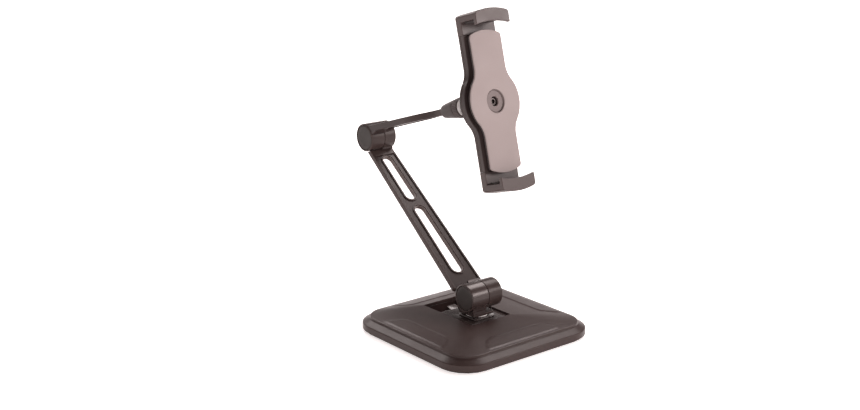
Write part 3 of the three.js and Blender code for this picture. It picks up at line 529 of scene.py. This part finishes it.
def hingeCap(h, side):
    radius = h["radius"] - hinge["capInset"] - 0.3
    outside, inside = 0.25, hinge["capDepth"] - 0.3
    profile = [(0, outside + 0.12), (radius * 0.62, outside + 0.12), (radius * 0.66, outside),
               (radius - 0.7, outside), (radius - 0.2, outside + 0.2), (radius, outside + 0.65),
               (radius, inside), (0, inside)]
    places = {"left": lambda p: h["left"] + p, "right": lambda p: h["right"] - p}
    return turned("x", [(r, places[side](p)) for r, p in profile], sides=128)


# Pedestal

pedestal = dict(y=-5.0, footHalf=11.0, footCorner=2.5, bottom=19.7, footTop=22.2, neckHalf=10.5,
                leftFoot=-12.4, slantTop=33.5, boreTop=24.2)


def makePedestal():
    h = lowerHinge
    py, pz = lowerPivot.y * perMetre, lowerPivot.z * perMetre
    right = h["split"] - hinge["splitGap"] / 2
    half, middle = pedestal["footHalf"], pedestal["y"]
    foot = prism("z", [roundedBox(-half, half, middle - half, middle + half,
                                  pedestal["footCorner"])],
                 pedestal["bottom"], pedestal["footTop"], 0.5)
    neckBottom = pedestal["bottom"] + 0.6
    side = [(middle - pedestal["neckHalf"], neckBottom),
            (middle + pedestal["neckHalf"], neckBottom)]
    side += arc(py, pz, h["radius"] - 0.05, 10, 178, 40)
    neck = prism("x", [side], h["left"] + 0.6, right, 0.6)
    slant = prism("y", [[(-30, 0), (pedestal["leftFoot"], 0),
                         (pedestal["leftFoot"], pedestal["footTop"] - 1),
                         (h["left"], pedestal["slantTop"]), (h["left"], 70), (-30, 70)]], -60, 60)
    barrel = knuckle(h, "left")
    core = hingeCore(h)
    for part in (barrel, core):
        shift(part, 0, py, pz)
    bore = shift(rod("z", hinge["boltBore"], 0, pedestal["boreTop"], sides=48), 0, middle, 0)
    return carve(fuse(carve(neck, slant), foot, barrel), core, bore)


place(makePedestal(), "pedestalBracket", deskLink, "pedestal", "arm_paint", finish["barrelPaint"],
      "pedestal")
for level, h, link, leftBody in (("lower", lowerHinge, lowerLink, "pedestal"),
                                 ("upper", upperHinge, upperLink, "upper_arm")):
    for side, body in (("left", leftBody), ("right", "lower_arm")):
        place(hingeCap(h, side), level + "Cap" + side.capitalize(), link, body, "cap_plastic",
              finish["capPlastic"], level + "_hinge_cap_" + side)
print("pedestal and hinge caps made")

# Lower arm

lowerArm = dict(length=194.3, back=-9.1, front=-4.5, lowHalf=16.6, highHalf=12.8, startY=13.6,
                endY=186.0, pocketStartY=15.4, pocketEndY=178.0, sideRim=1.9, slotRim=1.9,
                pocket=1.0, slotShare=0.37, lowSlot=(30.3, 109), highSlot=(118.1, 171.6),
                ledgeStartY=173.6, ledgeEndY=180.6, slotStep=0.8, clear=0.5, cutIn=0.8)


def armHalf(y):
    share = (y - lowerArm["startY"]) / (lowerArm["endY"] - lowerArm["startY"])
    return lowerArm["lowHalf"] + (lowerArm["highHalf"] - lowerArm["lowHalf"]) * share


def armOutline(y0, y1, inset, corner=3.0):
    low, high = armHalf(y0) - inset, armHalf(y1) - inset
    return (arc(low - corner, y0 + corner, corner, -90, 0, 8) + arc(high - corner, y1 - corner,
                                                                    corner, 0, 90, 8)
            + arc(corner - high, y1 - corner, corner, 90, 180, 8) + arc(corner - low, y0 + corner,
                                                                        corner, 180, 270, 8))


def slotOutline(slot, grow=0.0):
    y0, y1 = slot
    low, high = armHalf(y0) * lowerArm["slotShare"], armHalf(y1) * lowerArm["slotShare"]
    return (arc(0, y0 + low, low + grow, 180, 360, 28) + arc(0, y1 - high, high + grow, 0, 180, 28))


# A flat casting with a pocket in its front and a web at each end that carries a barrel
def makeLowerArm():
    a = lowerArm
    slots = [a["lowSlot"], a["highSlot"]]
    holes = [slotOutline(slot)[::-1] for slot in slots]
    plate = prism("z", [armOutline(a["startY"], a["endY"], 0), *holes], a["back"], a["front"], 0.45)
    rims = [slotOutline(slot, a["slotRim"])[::-1] for slot in slots]
    pocket = prism("z", [armOutline(a["pocketStartY"], a["pocketEndY"], a["sideRim"], 2.4), *rims],
                   a["front"] - a["pocket"], a["front"] + 1)
    carve(plate, pocket)
    for slot in slots:
        carve(plate, prism("z", [slotOutline(slot, a["slotRim"] - a["slotStep"])],
                           a["front"] - 0.45, a["front"] + 1))
    gap = hinge["splitGap"] / 2
    lowLeft, highLeft = lowerHinge["split"] + gap, upperHinge["split"] + gap
    webBack, front = a["back"] + 0.07, a["front"]
    lowWeb = prism("x", [[(1, webBack), (19, webBack), (19, front - 0.3), (12.2, front + 0.9),
                          (6, 6), (1, 0.5)]],
                   lowLeft, lowerHinge["right"] - 1.2)
    end, length = a["endY"], a["length"]
    highWeb = prism("x", [[(end - 5.3, webBack), (length - 1, webBack), (length - 1, 0.5),
                           (length - 7, 6), (end - 4.7, front + 1.9), (end - 6.6, front - 0.3)]],
                    highLeft, upperHinge["right"] - 1.2)
    ledgeHalf = armHalf(a["ledgeEndY"]) - 0.6
    ledge = prism("z", [roundedBox(-ledgeHalf, ledgeHalf, a["ledgeStartY"], a["ledgeEndY"], 1.5)],
                  a["back"] + 1, a["front"] + 0.4, 0.3)
    topClear = rod("x", upperHinge["radius"] + a["clear"], -25, highLeft, sides=128)
    topCut = rod("x", upperHinge["radius"] - a["cutIn"], -30, 30, sides=100)
    topKnuckle = carve(knuckle(upperHinge, "right"), hingeCore(upperHinge))
    for part in (topClear, topCut, topKnuckle):
        shift(part, 0, length, 0)
    lowClear = rod("x", lowerHinge["radius"] + a["clear"], -25, lowLeft, sides=128)
    lowCut = rod("x", lowerHinge["radius"] - a["cutIn"], -30, 30, sides=100)
    # bored knuckles join last: boring them in place spoils the barrel
    arm = carve(fuse(plate, ledge, lowWeb, highWeb), lowClear, topClear, lowCut, topCut)
    return fuse(arm, carve(knuckle(lowerHinge, "right"), hingeCore(lowerHinge)), topKnuckle)


place(makeLowerArm(), "lowerArmCasting", lowerLink, "lower_arm", "arm_paint", finish["armPaint"],
      "lower_arm")
print("lower arm made")

# Upper arm

upperArm = dict(bottom=4.2, top=10.2, rootHalf=13.6, tipHalf=4.6, startY=-14.2, taperStartY=-64.0,
                taperEndY=-104.0, tipY=-113.3, rodRadius=2.9, rodEndY=-122.0, rim=1.6, pocket=0.8,
                clear=0.5, rodRoot=3, rodZ=7.15)


def bezier(p0, p1, p2, p3, steps):
    points = []
    for i in range(1, steps + 1):
        t = i / steps
        weights = ((1 - t) ** 3, 3 * t * (1 - t) ** 2, 3 * t * t * (1 - t), t ** 3)
        points.append(tuple(sum(w * p[k] for w, p in zip(weights,
                                                         (p0, p1, p2, p3))) for k in range(2)))
    return points


def upperOutline(inset):
    a = upperArm
    root, tip = a["rootHalf"] - inset, a["tipHalf"] - inset
    start, taper, end = a["startY"] - inset, a["taperEndY"], a["tipY"] + inset
    wide, early, late = a["taperStartY"], a["taperStartY"] - 22, taper + 14
    left = bezier((-root, wide), (-root, early), (-tip - 1.5, late), (-tip, taper), 24)
    right = bezier((tip, taper), (tip + 1.5, late), (root, early), (root, wide), 24)
    return [(root, start), (-root, start), (-root, wide), *left, (-tip, end), (tip, end),
            (tip, taper), *right]


def makeUpperArm():
    a = upperArm
    plate = prism("z", [upperOutline(0)], a["bottom"], a["top"], 0.7)
    for low, high in ((a["top"] - a["pocket"], a["top"] + 1),
                      (a["bottom"] - 1, a["bottom"] + a["pocket"])):
        carve(plate, prism("z", [upperOutline(a["rim"])], low, high))
    left, right = upperHinge["left"] + 0.6, upperHinge["split"] - hinge["splitGap"] / 2
    web = prism("x", [[(0, 0), (-6, -2), (-23, a["bottom"] + 0.9), (-23, a["top"] - a["pocket"]),
                       (-14.2, a["top"]), (0, a["top"] + 1.3)]], left, right, 0.4)
    rootY = a["tipY"] + a["rodRoot"]
    neck = turned("y", [(0, a["rodEndY"]), (a["rodRadius"], a["rodEndY"]), (a["rodRadius"], rootY),
                        (0, rootY)], 0.3, sides=64)
    shift(neck, 0, 0, a["rodZ"])
    clear = rod("x", upperHinge["radius"] + a["clear"], right, 25, sides=128)
    return carve(fuse(plate, web, knuckle(upperHinge, "left"), neck), clear, hingeCore(upperHinge))


place(makeUpperArm(), "upperArmCasting", upperLink, "upper_arm", "arm_paint", finish["armPaint"],
      "upper_arm")
print("upper arm made")

# Ball joint, drawn along the socket: the profile's places run towards the clamp

ball = dict(radius=6.5, seat=6.8, collarBack=-4.1, collarFront=3.9, collarRadius=9.2,
            coneBack=-23.2, coneTip=6.2, coneRadius=8.6, spigot=7.6, spigotFront=-1.0,
            seatOuter=8.2, seatFront=4.3, ribs=40, ribDepth=0.35, seatBack=1.8, mouthBack=1.5,
            gap=0.3)


def alongSocket(profile, bevel=0.0, sides=96, sharpAngle=30):
    return turned("y", [(r, -p) for r, p in reversed(profile)], bevel, sides, 3, sharpAngle)


def cupArc(radius, start, end, steps=14):
    first, last = math.asin(start / radius), math.asin(end / radius)
    return [(radius * math.cos(first + (last - first) * i / steps),
             radius * math.sin(first + (last - first) * i / steps)) for i in range(steps + 1)]


def makeSocket():
    b = ball
    shoulder = b["collarBack"] - b["gap"]
    cone = [(b["coneTip"] + (b["coneRadius"] - b["coneTip"]) * (t ** 0.85),
             b["coneBack"] + (shoulder - 1.6
             - b["coneBack"]) * t) for t in (0, 0.12, 0.25, 0.4, 0.55, 0.7, 0.85, 1)]
    profile = [(0, -14.2), (3.3, -14.2), (3.3, b["coneBack"]), *cone, (b["coneRadius"], shoulder),
               (b["spigot"], shoulder), (b["spigot"], b["spigotFront"]),
               *cupArc(b["seat"], b["spigotFront"], -b["seat"] * 0.9999)[:-1], (0, -b["seat"])]
    return alongSocket(profile, 0.25)


def makeCollar():
    b = ball
    sides = b["ribs"] * 6
    bm = bmesh.new()
    bore, mouth = b["spigot"] + b["gap"], b["seatOuter"] + b["gap"]
    full, low = b["collarRadius"], b["collarRadius"] - 0.45
    profile = [(bore, b["collarBack"], 0), (low - 0.3, b["collarBack"], 0),
               (low, b["collarBack"] + 0.3, 0), (low, b["collarBack"] + 0.9, 0),
               (full, b["collarBack"] + 1.4, 1), (full, b["collarFront"] - 1.3, 1),
               (low, b["collarFront"] - 0.8, 0), (low, b["collarFront"] - 0.25, 0),
               (low - 0.2, b["collarFront"], 0), (mouth, b["collarFront"], 0),
               (mouth, b["mouthBack"], 0), (bore, b["mouthBack"], 0)]
    rings = []
    for radius, along, ribbed in profile:
        ring = []
        for i in range(sides):
            turn = i * math.tau / sides
            r = radius - ribbed * b["ribDepth"] * (0.5 - 0.5 * math.cos(turn * b["ribs"])) ** 2
            ring.append(bm.verts.new((r * math.cos(turn), -along, r * math.sin(turn))))
        rings.append(ring)
    bridge(bm, rings)
    return finishSolid(bm)


def makeSeat():
    b = ball
    back = b["spigotFront"] + b["gap"]
    cup = cupArc(b["seat"], b["seatFront"] - 0.1, back)
    return alongSocket([(cup[-1][0], back), (b["spigot"], back), (b["spigot"], b["seatBack"]),
                        (b["seatOuter"], b["seatBack"]), (b["seatOuter"], b["seatFront"]), *cup],
                        0.15, sharpAngle=40)


def makeBall():
    return turned("y", [(0, -ball["radius"]), *cupArc(ball["radius"], -ball["radius"] * 0.995,
                                                      ball["radius"] * 0.995, 40),
                                                      (0, ball["radius"])], sides=72)


place(makeSocket(), "socketCone", ballLink, "upper_arm", "arm_paint", finish["armPaint"],
      "socket_body")
place(makeCollar(), "ribbedCollar", ballLink, "collar", "arm_paint", finish["armPaint"],
      "lock_collar", sharpAngle=40)
place(makeSeat(), "ballSeatRing", ballLink, "upper_arm", "slip_nylon", finish["nylon"], "ball_seat")
place(makeBall(), "pivotBallTurned", ballLink, "pivot", "ball_steel", finish["ballSteel"],
      "pivot_ball", sharpAngle=60)

shank = dict(distance=44.3, radius=2.8, flange=9.5, flangeFront=20.8, pin=3.2, screwBore=2.2,
             front=7, boreEnd=17, flare=[(7.4, 4.6), (6.0, 6.2), (4.6, 8.0), (3.6, 9.7),
                                         (3.0, 11.2)], flareEnd=12.4)


def makeShank():
    s = shank
    start = s["distance"] - ball["radius"] - 0.4
    f = s["flangeFront"]
    profile = [(0, s["boreEnd"]), (s["screwBore"], s["boreEnd"]), (s["screwBore"], s["front"]),
               (s["pin"], s["front"]), (s["pin"], f), (s["flange"], f),
               (s["flange"], f + 2.6), (s["flange"] - 0.5, f + 3.2),
               *[(r, f + p) for r, p in s["flare"]], (s["radius"], f + s["flareEnd"]),
               (s["radius"], start), (0, start)]
    return turned("y", profile, 0.2, sides=72)


centreScrew = dict(front=3.6, head=3.6, chamfer=(3.1, 4.0), headBack=6.4, thread=1.9, end=16,
                   key=2.1, keyFront=2.4, keyBack=5.4)


def makeCentreScrew():
    s = centreScrew
    head = turned("y", [(0, s["front"]), (s["chamfer"][0], s["front"]),
                        (s["head"], s["chamfer"][1]), (s["head"], s["headBack"]),
                        (s["thread"], s["headBack"]), (s["thread"], s["end"]), (0, s["end"])], 0.12,
                        sides=64)
    return carve(head, rod("y", s["key"], s["keyFront"], s["keyBack"], sides=6))


place(makeShank(), "ballShankTurned", clampLink, "stud", "ball_steel", finish["ballSteel"],
      "ball_shank")
place(makeCentreScrew(), "centreScrewHead", clampLink, "stud", "fastener_steel",
      finish["screwHead"], "centre_screw")
print("ball joint made")

# Clamp body

clamp = dict(halfWidth=17.9, bulge=28.3, blend=20.0, endRadius=42.0, halfLength=61.3, corner=3.0,
             shellRim=1.5, frameInset=0.4, coreInset=2.6, shellFront=6.5, shellBack=13.5,
             shellEnd=58.2, channelHalf=14.5, channelBack=11.1, bossRadius=15.0, bossBack=20.5,
             recess=10.15, recessFloor=1.5, cup=11.4, cupBack=3.0, hole=4.15, panelBack=1.4,
             bezelFront=1.7, bezelBack=3.4, coreFront=2.9, coreBack=6.2, cavity=12.5,
             cavityBack=18.8, bore=3.5, screwHole=1.5, screws=[(20, 10), (-20, 10), (-20, -10),
                                                               (20, -10)])


def waistQuarter(grow):
    c = clamp
    blendX = c["halfWidth"] + c["blend"]
    blendZ = math.sqrt((c["bulge"] + c["blend"]) ** 2 - blendX ** 2)
    blendTurn = math.degrees(math.atan2(blendZ, blendX))
    return (arc(0, 0, c["bulge"] + grow, 0, blendTurn, 16)
            + arc(blendX, blendZ, c["blend"] - grow, 180 + blendTurn, 180, 16))


def allRound(quarter, other):
    half = quarter + [(-x, z) for x, z in reversed(other)]
    return half[:-1] + [(-x, -z) for x, z in half[:-1]]


def clampOutline(offset):
    c = clamp
    arcZ = c["halfLength"] - c["endRadius"]
    cornerX = c["halfWidth"] - c["corner"]
    cornerZ = arcZ + math.sqrt((c["endRadius"] - c["corner"]) ** 2 - cornerX ** 2)
    endTurn = math.degrees(math.atan2(cornerX, cornerZ - arcZ))
    quarter = (waistQuarter(offset)
               + arc(cornerX, cornerZ, c["corner"] + offset, 0, 90 - endTurn, 8)
               + arc(0, arcZ, c["endRadius"] + offset, 90 - endTurn, 90, 10))
    return allRound(quarter, quarter[:-1])


# runs past the shell's ends, which are cut straight afterwards
def shellOutline(inset):
    grow = clamp["shellRim"] - inset
    quarter = waistQuarter(grow) + [(clamp["halfWidth"] + grow, clamp["shellEnd"] + 6)]
    return allRound(quarter, quarter)


def atScrews(shape):
    return [shift(shape(), x, 0, z) for x, z in clamp["screws"]]


def makePanel():
    c = clamp
    plate = prism("y", [clampOutline(0)], 0, c["panelBack"], 0.45)
    cup = rod("y", c["cup"], 0.9, c["cupBack"], sides=96)
    rim, floor = c["recess"], c["recessFloor"]
    dish = turned("y", [(0, -2), (rim + 0.5, -2), (rim + 0.5, 0), (rim, 0.3), (rim, floor + 0.7),
                        (rim - 0.9, floor + 0.7), (rim - 0.9, floor + 0.15), (rim - 1.1, floor),
                        (c["hole"] + 0.35, floor), (c["hole"], floor + 0.35), (c["hole"], 8),
                        (0, 8)], sides=96)
    return carve(fuse(plate, cup), dish)


def makeFrame():
    c = clamp
    bezel = prism("y", [clampOutline(-c["frameInset"])], c["bezelFront"], c["bezelBack"], 0.4)
    core = prism("y", [clampOutline(-c["coreInset"])], c["coreFront"], c["coreBack"], 0.2)
    cupSeat = rod("y", c["cup"] + 0.3, 0, c["cupBack"] + 0.3)
    hole = rod("y", c["hole"], 0, 10, sides=64)
    screws = atScrews(lambda: rod("y", c["screwHole"], 3.6, 10, sides=24))
    return carve(fuse(bezel, core), cupSeat, hole, *screws)


def makeShell():
    c = clamp
    front = prism("y", [shellOutline(0)], c["shellFront"], 9.85, 0.4)
    waist = prism("y", [shellOutline(0.35)], 9.4, 10.6)
    back = prism("y", [shellOutline(0)], 10.15, c["shellBack"], 0.8)
    boss = turned("y", [(0, 12), (c["bossRadius"] + 1.2, c["shellBack"] - 0.2),
                        (c["bossRadius"], c["shellBack"] + 0.9),
                        (c["bossRadius"], c["bossBack"] - 1.2),
                        (c["bossRadius"] - 0.4, c["bossBack"] - 0.35),
                        (c["bossRadius"] - 1.2, c["bossBack"]), (0, c["bossBack"])], sides=96)
    channel = bar(-c["channelHalf"], c["channelHalf"], 0, c["channelBack"], -90, 90)
    cavity = rod("y", c["cavity"], c["shellFront"] - 1, c["cavityBack"])
    bore = rod("y", c["bore"], 0, 30, sides=48)
    ends = [bar(-40, 40, 0, 30, c["shellEnd"], 90), bar(-40, 40, 0, 30, -90, -c["shellEnd"])]
    body = carve(fuse(front, waist, back), *ends)
    sunk = [(0, 3), (c["screwHole"], 3), (c["screwHole"], 11.9), (2.7, 13.3), (2.7, 16), (0, 16)]
    screws = atScrews(lambda: turned("y", sunk, sides=24))
    return carve(fuse(body, boss), channel, cavity, bore, *screws)


place(makePanel(), "greyFacePanel", clampLink, "clamp", "panel_grey", finish["panelGrey"],
      "face_panel", sharpAngle=14)
place(makeFrame(), "bezelFrame", clampLink, "clamp", "clamp_plastic", finish["clampPlastic"],
      "front_frame")
place(makeShell(), "backHousing", clampLink, "clamp", "clamp_plastic", finish["clampPlastic"],
      "back_shell")
dress(["shell_screw_1", "shell_screw_2", "shell_screw_3", "shell_screw_4"], finish["screwHead"],
      0.15)
print("clamp body made")

# Jaws

jaw = dict(halfWidth=19.4, inner=69.4, legFront=6.8, legEnd=58.3, lipFront=-12.5, lipBack=-9.0,
           top=78.0, outerRadius=68.6, lipInner=66.9, lipRadius=83.0, travel=44.0, tongueHalf=14.0,
           tongueThickness=1.7, tongueEnd=56.0, corner=3.0, edge=0.7)
gear = dict(teeth=20, pitchRadius=7.5, addendum=0.62, dedendum=0.85, halfTooth=0.46, flank=20)


def rackWindow():
    pitch = math.tau * gear["pitchRadius"] / gear["teeth"]
    slope = math.tan(math.radians(gear["flank"]))
    tip, root = gear["pitchRadius"] - gear["addendum"], gear["pitchRadius"] + gear["dedendum"]
    tipHalf = gear["halfTooth"] - slope * gear["addendum"]
    rootHalf = gear["halfTooth"] + slope * gear["dedendum"]
    low, high = -jaw["travel"] - gear["pitchRadius"] - 1.6, gear["pitchRadius"] + 2
    points = [(high - 0.5, low), (high, low + 0.5), (high, high), (-root, high)]
    tooth = math.floor((high - rootHalf) / pitch)
    while (tooth - 0.5) * pitch > low + rootHalf:
        z = (tooth - 0.5) * pitch
        points += [(-root, z + rootHalf), (-tip, z + tipHalf), (-tip, z - tipHalf),
                   (-root, z - rootHalf)]
        tooth -= 1
    points.append((-root, low))
    return points


def makeJaw(tongueFront):
    j = jaw
    top = j["top"]
    arcZ = top - j["outerRadius"]
    hook = prism("x", [[(j["lipFront"], j["inner"] - 8), (j["lipBack"], j["inner"] - 8),
                        (j["lipBack"], j["inner"]), (j["legFront"], j["inner"]),
                        (j["legFront"], j["legEnd"]), (clamp["shellBack"], j["legEnd"]),
                        (clamp["shellBack"], top + 4), (j["lipFront"], top + 4)]], -j["halfWidth"],
                        j["halfWidth"])
    reach = j["outerRadius"] - j["corner"]
    endTurn = math.degrees(math.acos((j["halfWidth"] - j["corner"]) / reach))
    cornerZ = arcZ + reach * math.sin(math.radians(endTurn))
    outline = [(-j["halfWidth"], 0), (j["halfWidth"], 0),
               *arc(j["halfWidth"] - j["corner"], cornerZ, j["corner"], 0, endTurn, 10),
               *arc(0, arcZ, j["outerRadius"], endTurn, 180 - endTurn, 30),
               *arc(j["corner"] - j["halfWidth"], cornerZ, j["corner"], 180 - endTurn, 180, 10)]
    combine(hook, prism("y", [outline], -30, 30), "INTERSECT")
    inner = rod("y", j["lipRadius"], j["lipFront"] - 2, j["lipBack"] + 0.02, sides=360)
    carve(hook, shift(inner, 0, 0, j["lipInner"] - j["lipRadius"]))
    roundEdges(hook, j["edge"], 3, 40)
    back, end = tongueFront + j["tongueThickness"], j["legEnd"] + 1.2
    tongue = prism("y", [[(-j["tongueHalf"], -j["tongueEnd"]), (j["tongueHalf"], -j["tongueEnd"]),
                          (j["tongueHalf"], end), (-j["tongueHalf"], end)], rackWindow()],
                          tongueFront, back)
    return fuse(hook, tongue)


jawPad = dict(half=17, thickness=1.2, gap=0.3, back=5.0, ribs=9, ribHeight=0.5, ribFoot=0.35,
              ribTop=0.7)


def makeJawPad():
    p = jawPad
    high = jaw["inner"] - p["gap"]
    low = high - p["thickness"]
    valley = low + p["ribHeight"]
    width = p["half"] * 2 / p["ribs"]
    outline = [(-p["half"], high), (-p["half"], valley)]
    for i in range(p["ribs"]):
        start = i * width - p["half"]
        outline += [(start + p["ribFoot"], valley), (start + p["ribTop"], low),
                    (start + width - p["ribTop"], low), (start + width - p["ribFoot"], valley)]
    outline += [(p["half"], valley), (p["half"], high)]
    return prism("y", [outline], jaw["lipBack"] + p["gap"], p["back"], 0.12)


layers = (clamp["shellFront"] + 0.6, clamp["shellFront"] + 0.6 + jaw["tongueThickness"] + 0.3)
for name, link, layer in (("upper", clampLink, layers[0]), ("lower", lowerJawLink, layers[1])):
    place(makeJaw(layer), name + "JawHook", link, name + "_jaw", "clamp_plastic",
          finish["jawPlastic"], name + "_jaw")
    place(makeJawPad(), name + "JawRibbedPad", link, name + "_jaw", "jaw_rubber", finish["rubber"],
          name + "_jaw_pad")
print("jaws made")

# Floor, light and camera

studio = dict(floorSize=16.0, floorDrop=0.0002, floorGlow=0.66, farGlow=1.35, glowReach=(0.4, 1.8),
              tint=(1.0, 0.91, 0.895), skyStrength=1.55, camera=(-0.7071, -0.8318, 0.4216),
              azimuth=-38.35, elevation=15.49, roll=-0.41, focal=1278.6, frameWidth=860, sensor=36,
              clip=(0.05, 60))
# how bright the sky is at each height, from the ground up
skyStops = [(0.0, 1.0), (0.14, 1.0), (0.24, 0.22), (0.6, 0.14), (0.85, 0.12), (1.0, 0.12)]


def makeFloor():
    bm = bmesh.new()
    bmesh.ops.create_grid(bm, x_segments=8, y_segments=8, size=studio["floorSize"] / 2)
    mesh = bpy.data.meshes.new("floor")
    bm.to_mesh(mesh)
    bm.free()
    floor = bpy.data.objects.new("floor", mesh)
    bpy.context.scene.collection.objects.link(floor)
    floor.location.z = -studio["floorDrop"]
    paper = bpy.data.materials.new("paper")
    paper.use_nodes = True
    shader, add, link = nodeTools(paper)
    shader.inputs["Base Color"].default_value = (0.9, 0.9, 0.9, 1)
    shader.inputs["Roughness"].default_value = 0.9
    shader.inputs["Specular IOR Level"].default_value = 0.1
    shader.inputs["Emission Color"].default_value = (1, 0.95, 0.94, 1)
    reach = add("ShaderNodeVectorMath", operation="LENGTH")
    link(add("ShaderNodeTexCoord").outputs["Object"], reach.inputs[0])
    near, far = studio["glowReach"]
    glow = add("ShaderNodeMapRange", **{"From Min": near, "From Max": far,
                                        "To Min": studio["floorGlow"], "To Max": studio["farGlow"]})
    link(reach.outputs["Value"], glow.inputs["Value"])
    link(glow.outputs["Result"], shader.inputs["Emission Strength"])
    mesh.materials.append(paper)


def makeSky():
    world = bpy.data.worlds.new("studio")
    bpy.context.scene.world = world
    world.use_nodes = True
    tree = world.node_tree
    background = tree.nodes["Background"]
    where = tree.nodes.new("ShaderNodeTexCoord")
    split = tree.nodes.new("ShaderNodeSeparateXYZ")
    ramp = tree.nodes.new("ShaderNodeValToRGB")
    tree.links.new(where.outputs["Generated"], split.inputs["Vector"])
    tree.links.new(split.outputs["Z"], ramp.inputs["Fac"])
    ramp.color_ramp.elements[0].position = skyStops[0][0]
    ramp.color_ramp.elements[1].position = skyStops[-1][0]
    for position, level in skyStops[1:-1]:
        ramp.color_ramp.elements.new(position)
    for element, (position, level) in zip(ramp.color_ramp.elements, skyStops):
        element.color = (*(level * part for part in studio["tint"]), 1)
    tree.links.new(ramp.outputs["Color"], background.inputs["Color"])
    background.inputs["Strength"].default_value = studio["skyStrength"]


def makeLight(name, position, target, size, power):
    data = bpy.data.lights.new(name, "AREA")
    data.shape = "RECTANGLE"
    data.size, data.size_y = size
    data.energy = power
    data.color = studio["tint"]
    light = bpy.data.objects.new(name, data)
    bpy.context.scene.collection.objects.link(light)
    light.location = position
    light.rotation_mode = "QUATERNION"
    light.rotation_quaternion = (Vector(target) - Vector(position)).to_track_quat("-Z", "Y")


def makeCamera():
    turn, tilt, roll = (math.radians(studio[key]) for key in ("azimuth", "elevation", "roll"))
    back = Vector((math.sin(turn) * math.cos(tilt), -math.cos(turn) * math.cos(tilt),
                   math.sin(tilt)))
    right = Vector((0, 0, 1)).cross(back).normalized()
    up = back.cross(right)
    tiltedRight = right * math.cos(roll) + up * math.sin(roll)
    tiltedUp = up * math.cos(roll) - right * math.sin(roll)
    data = bpy.data.cameras.new("camera")
    data.sensor_width = studio["sensor"]
    data.lens = studio["focal"] / studio["frameWidth"] * studio["sensor"]
    data.clip_start, data.clip_end = studio["clip"]
    camera = bpy.data.objects.new("camera", data)
    bpy.context.scene.collection.objects.link(camera)
    facing = Matrix((tiltedRight, tiltedUp, back)).transposed().to_4x4()
    camera.matrix_world = Matrix.Translation(studio["camera"]) @ facing
    bpy.context.scene.camera = camera


makeFloor()
makeSky()
# each light's place, what it is aimed at, its size and its power
for lamp in (("rightSoftbox", (1.02, 0.33, 1.42), (0, 0, 0.1), (0.9, 0.8), 17),
             ("backSoftbox", (0.17, 1.36, 1.16), (0, 0, 0.1), (0.9, 0.8), 13),
             ("barrelSoftbox", (1.02, -1.15, 0.72), (0, 0, 0.15), (0.8, 0.42), 12),
             ("frontFill", (-1.2, -1.6, 1.3), (0, 0, 0.12), (1.0, 0.8), 6)):
    makeLight(*lamp)
makeCamera()
bpy.context.scene.view_settings.view_transform = "Standard"
print("studio set")
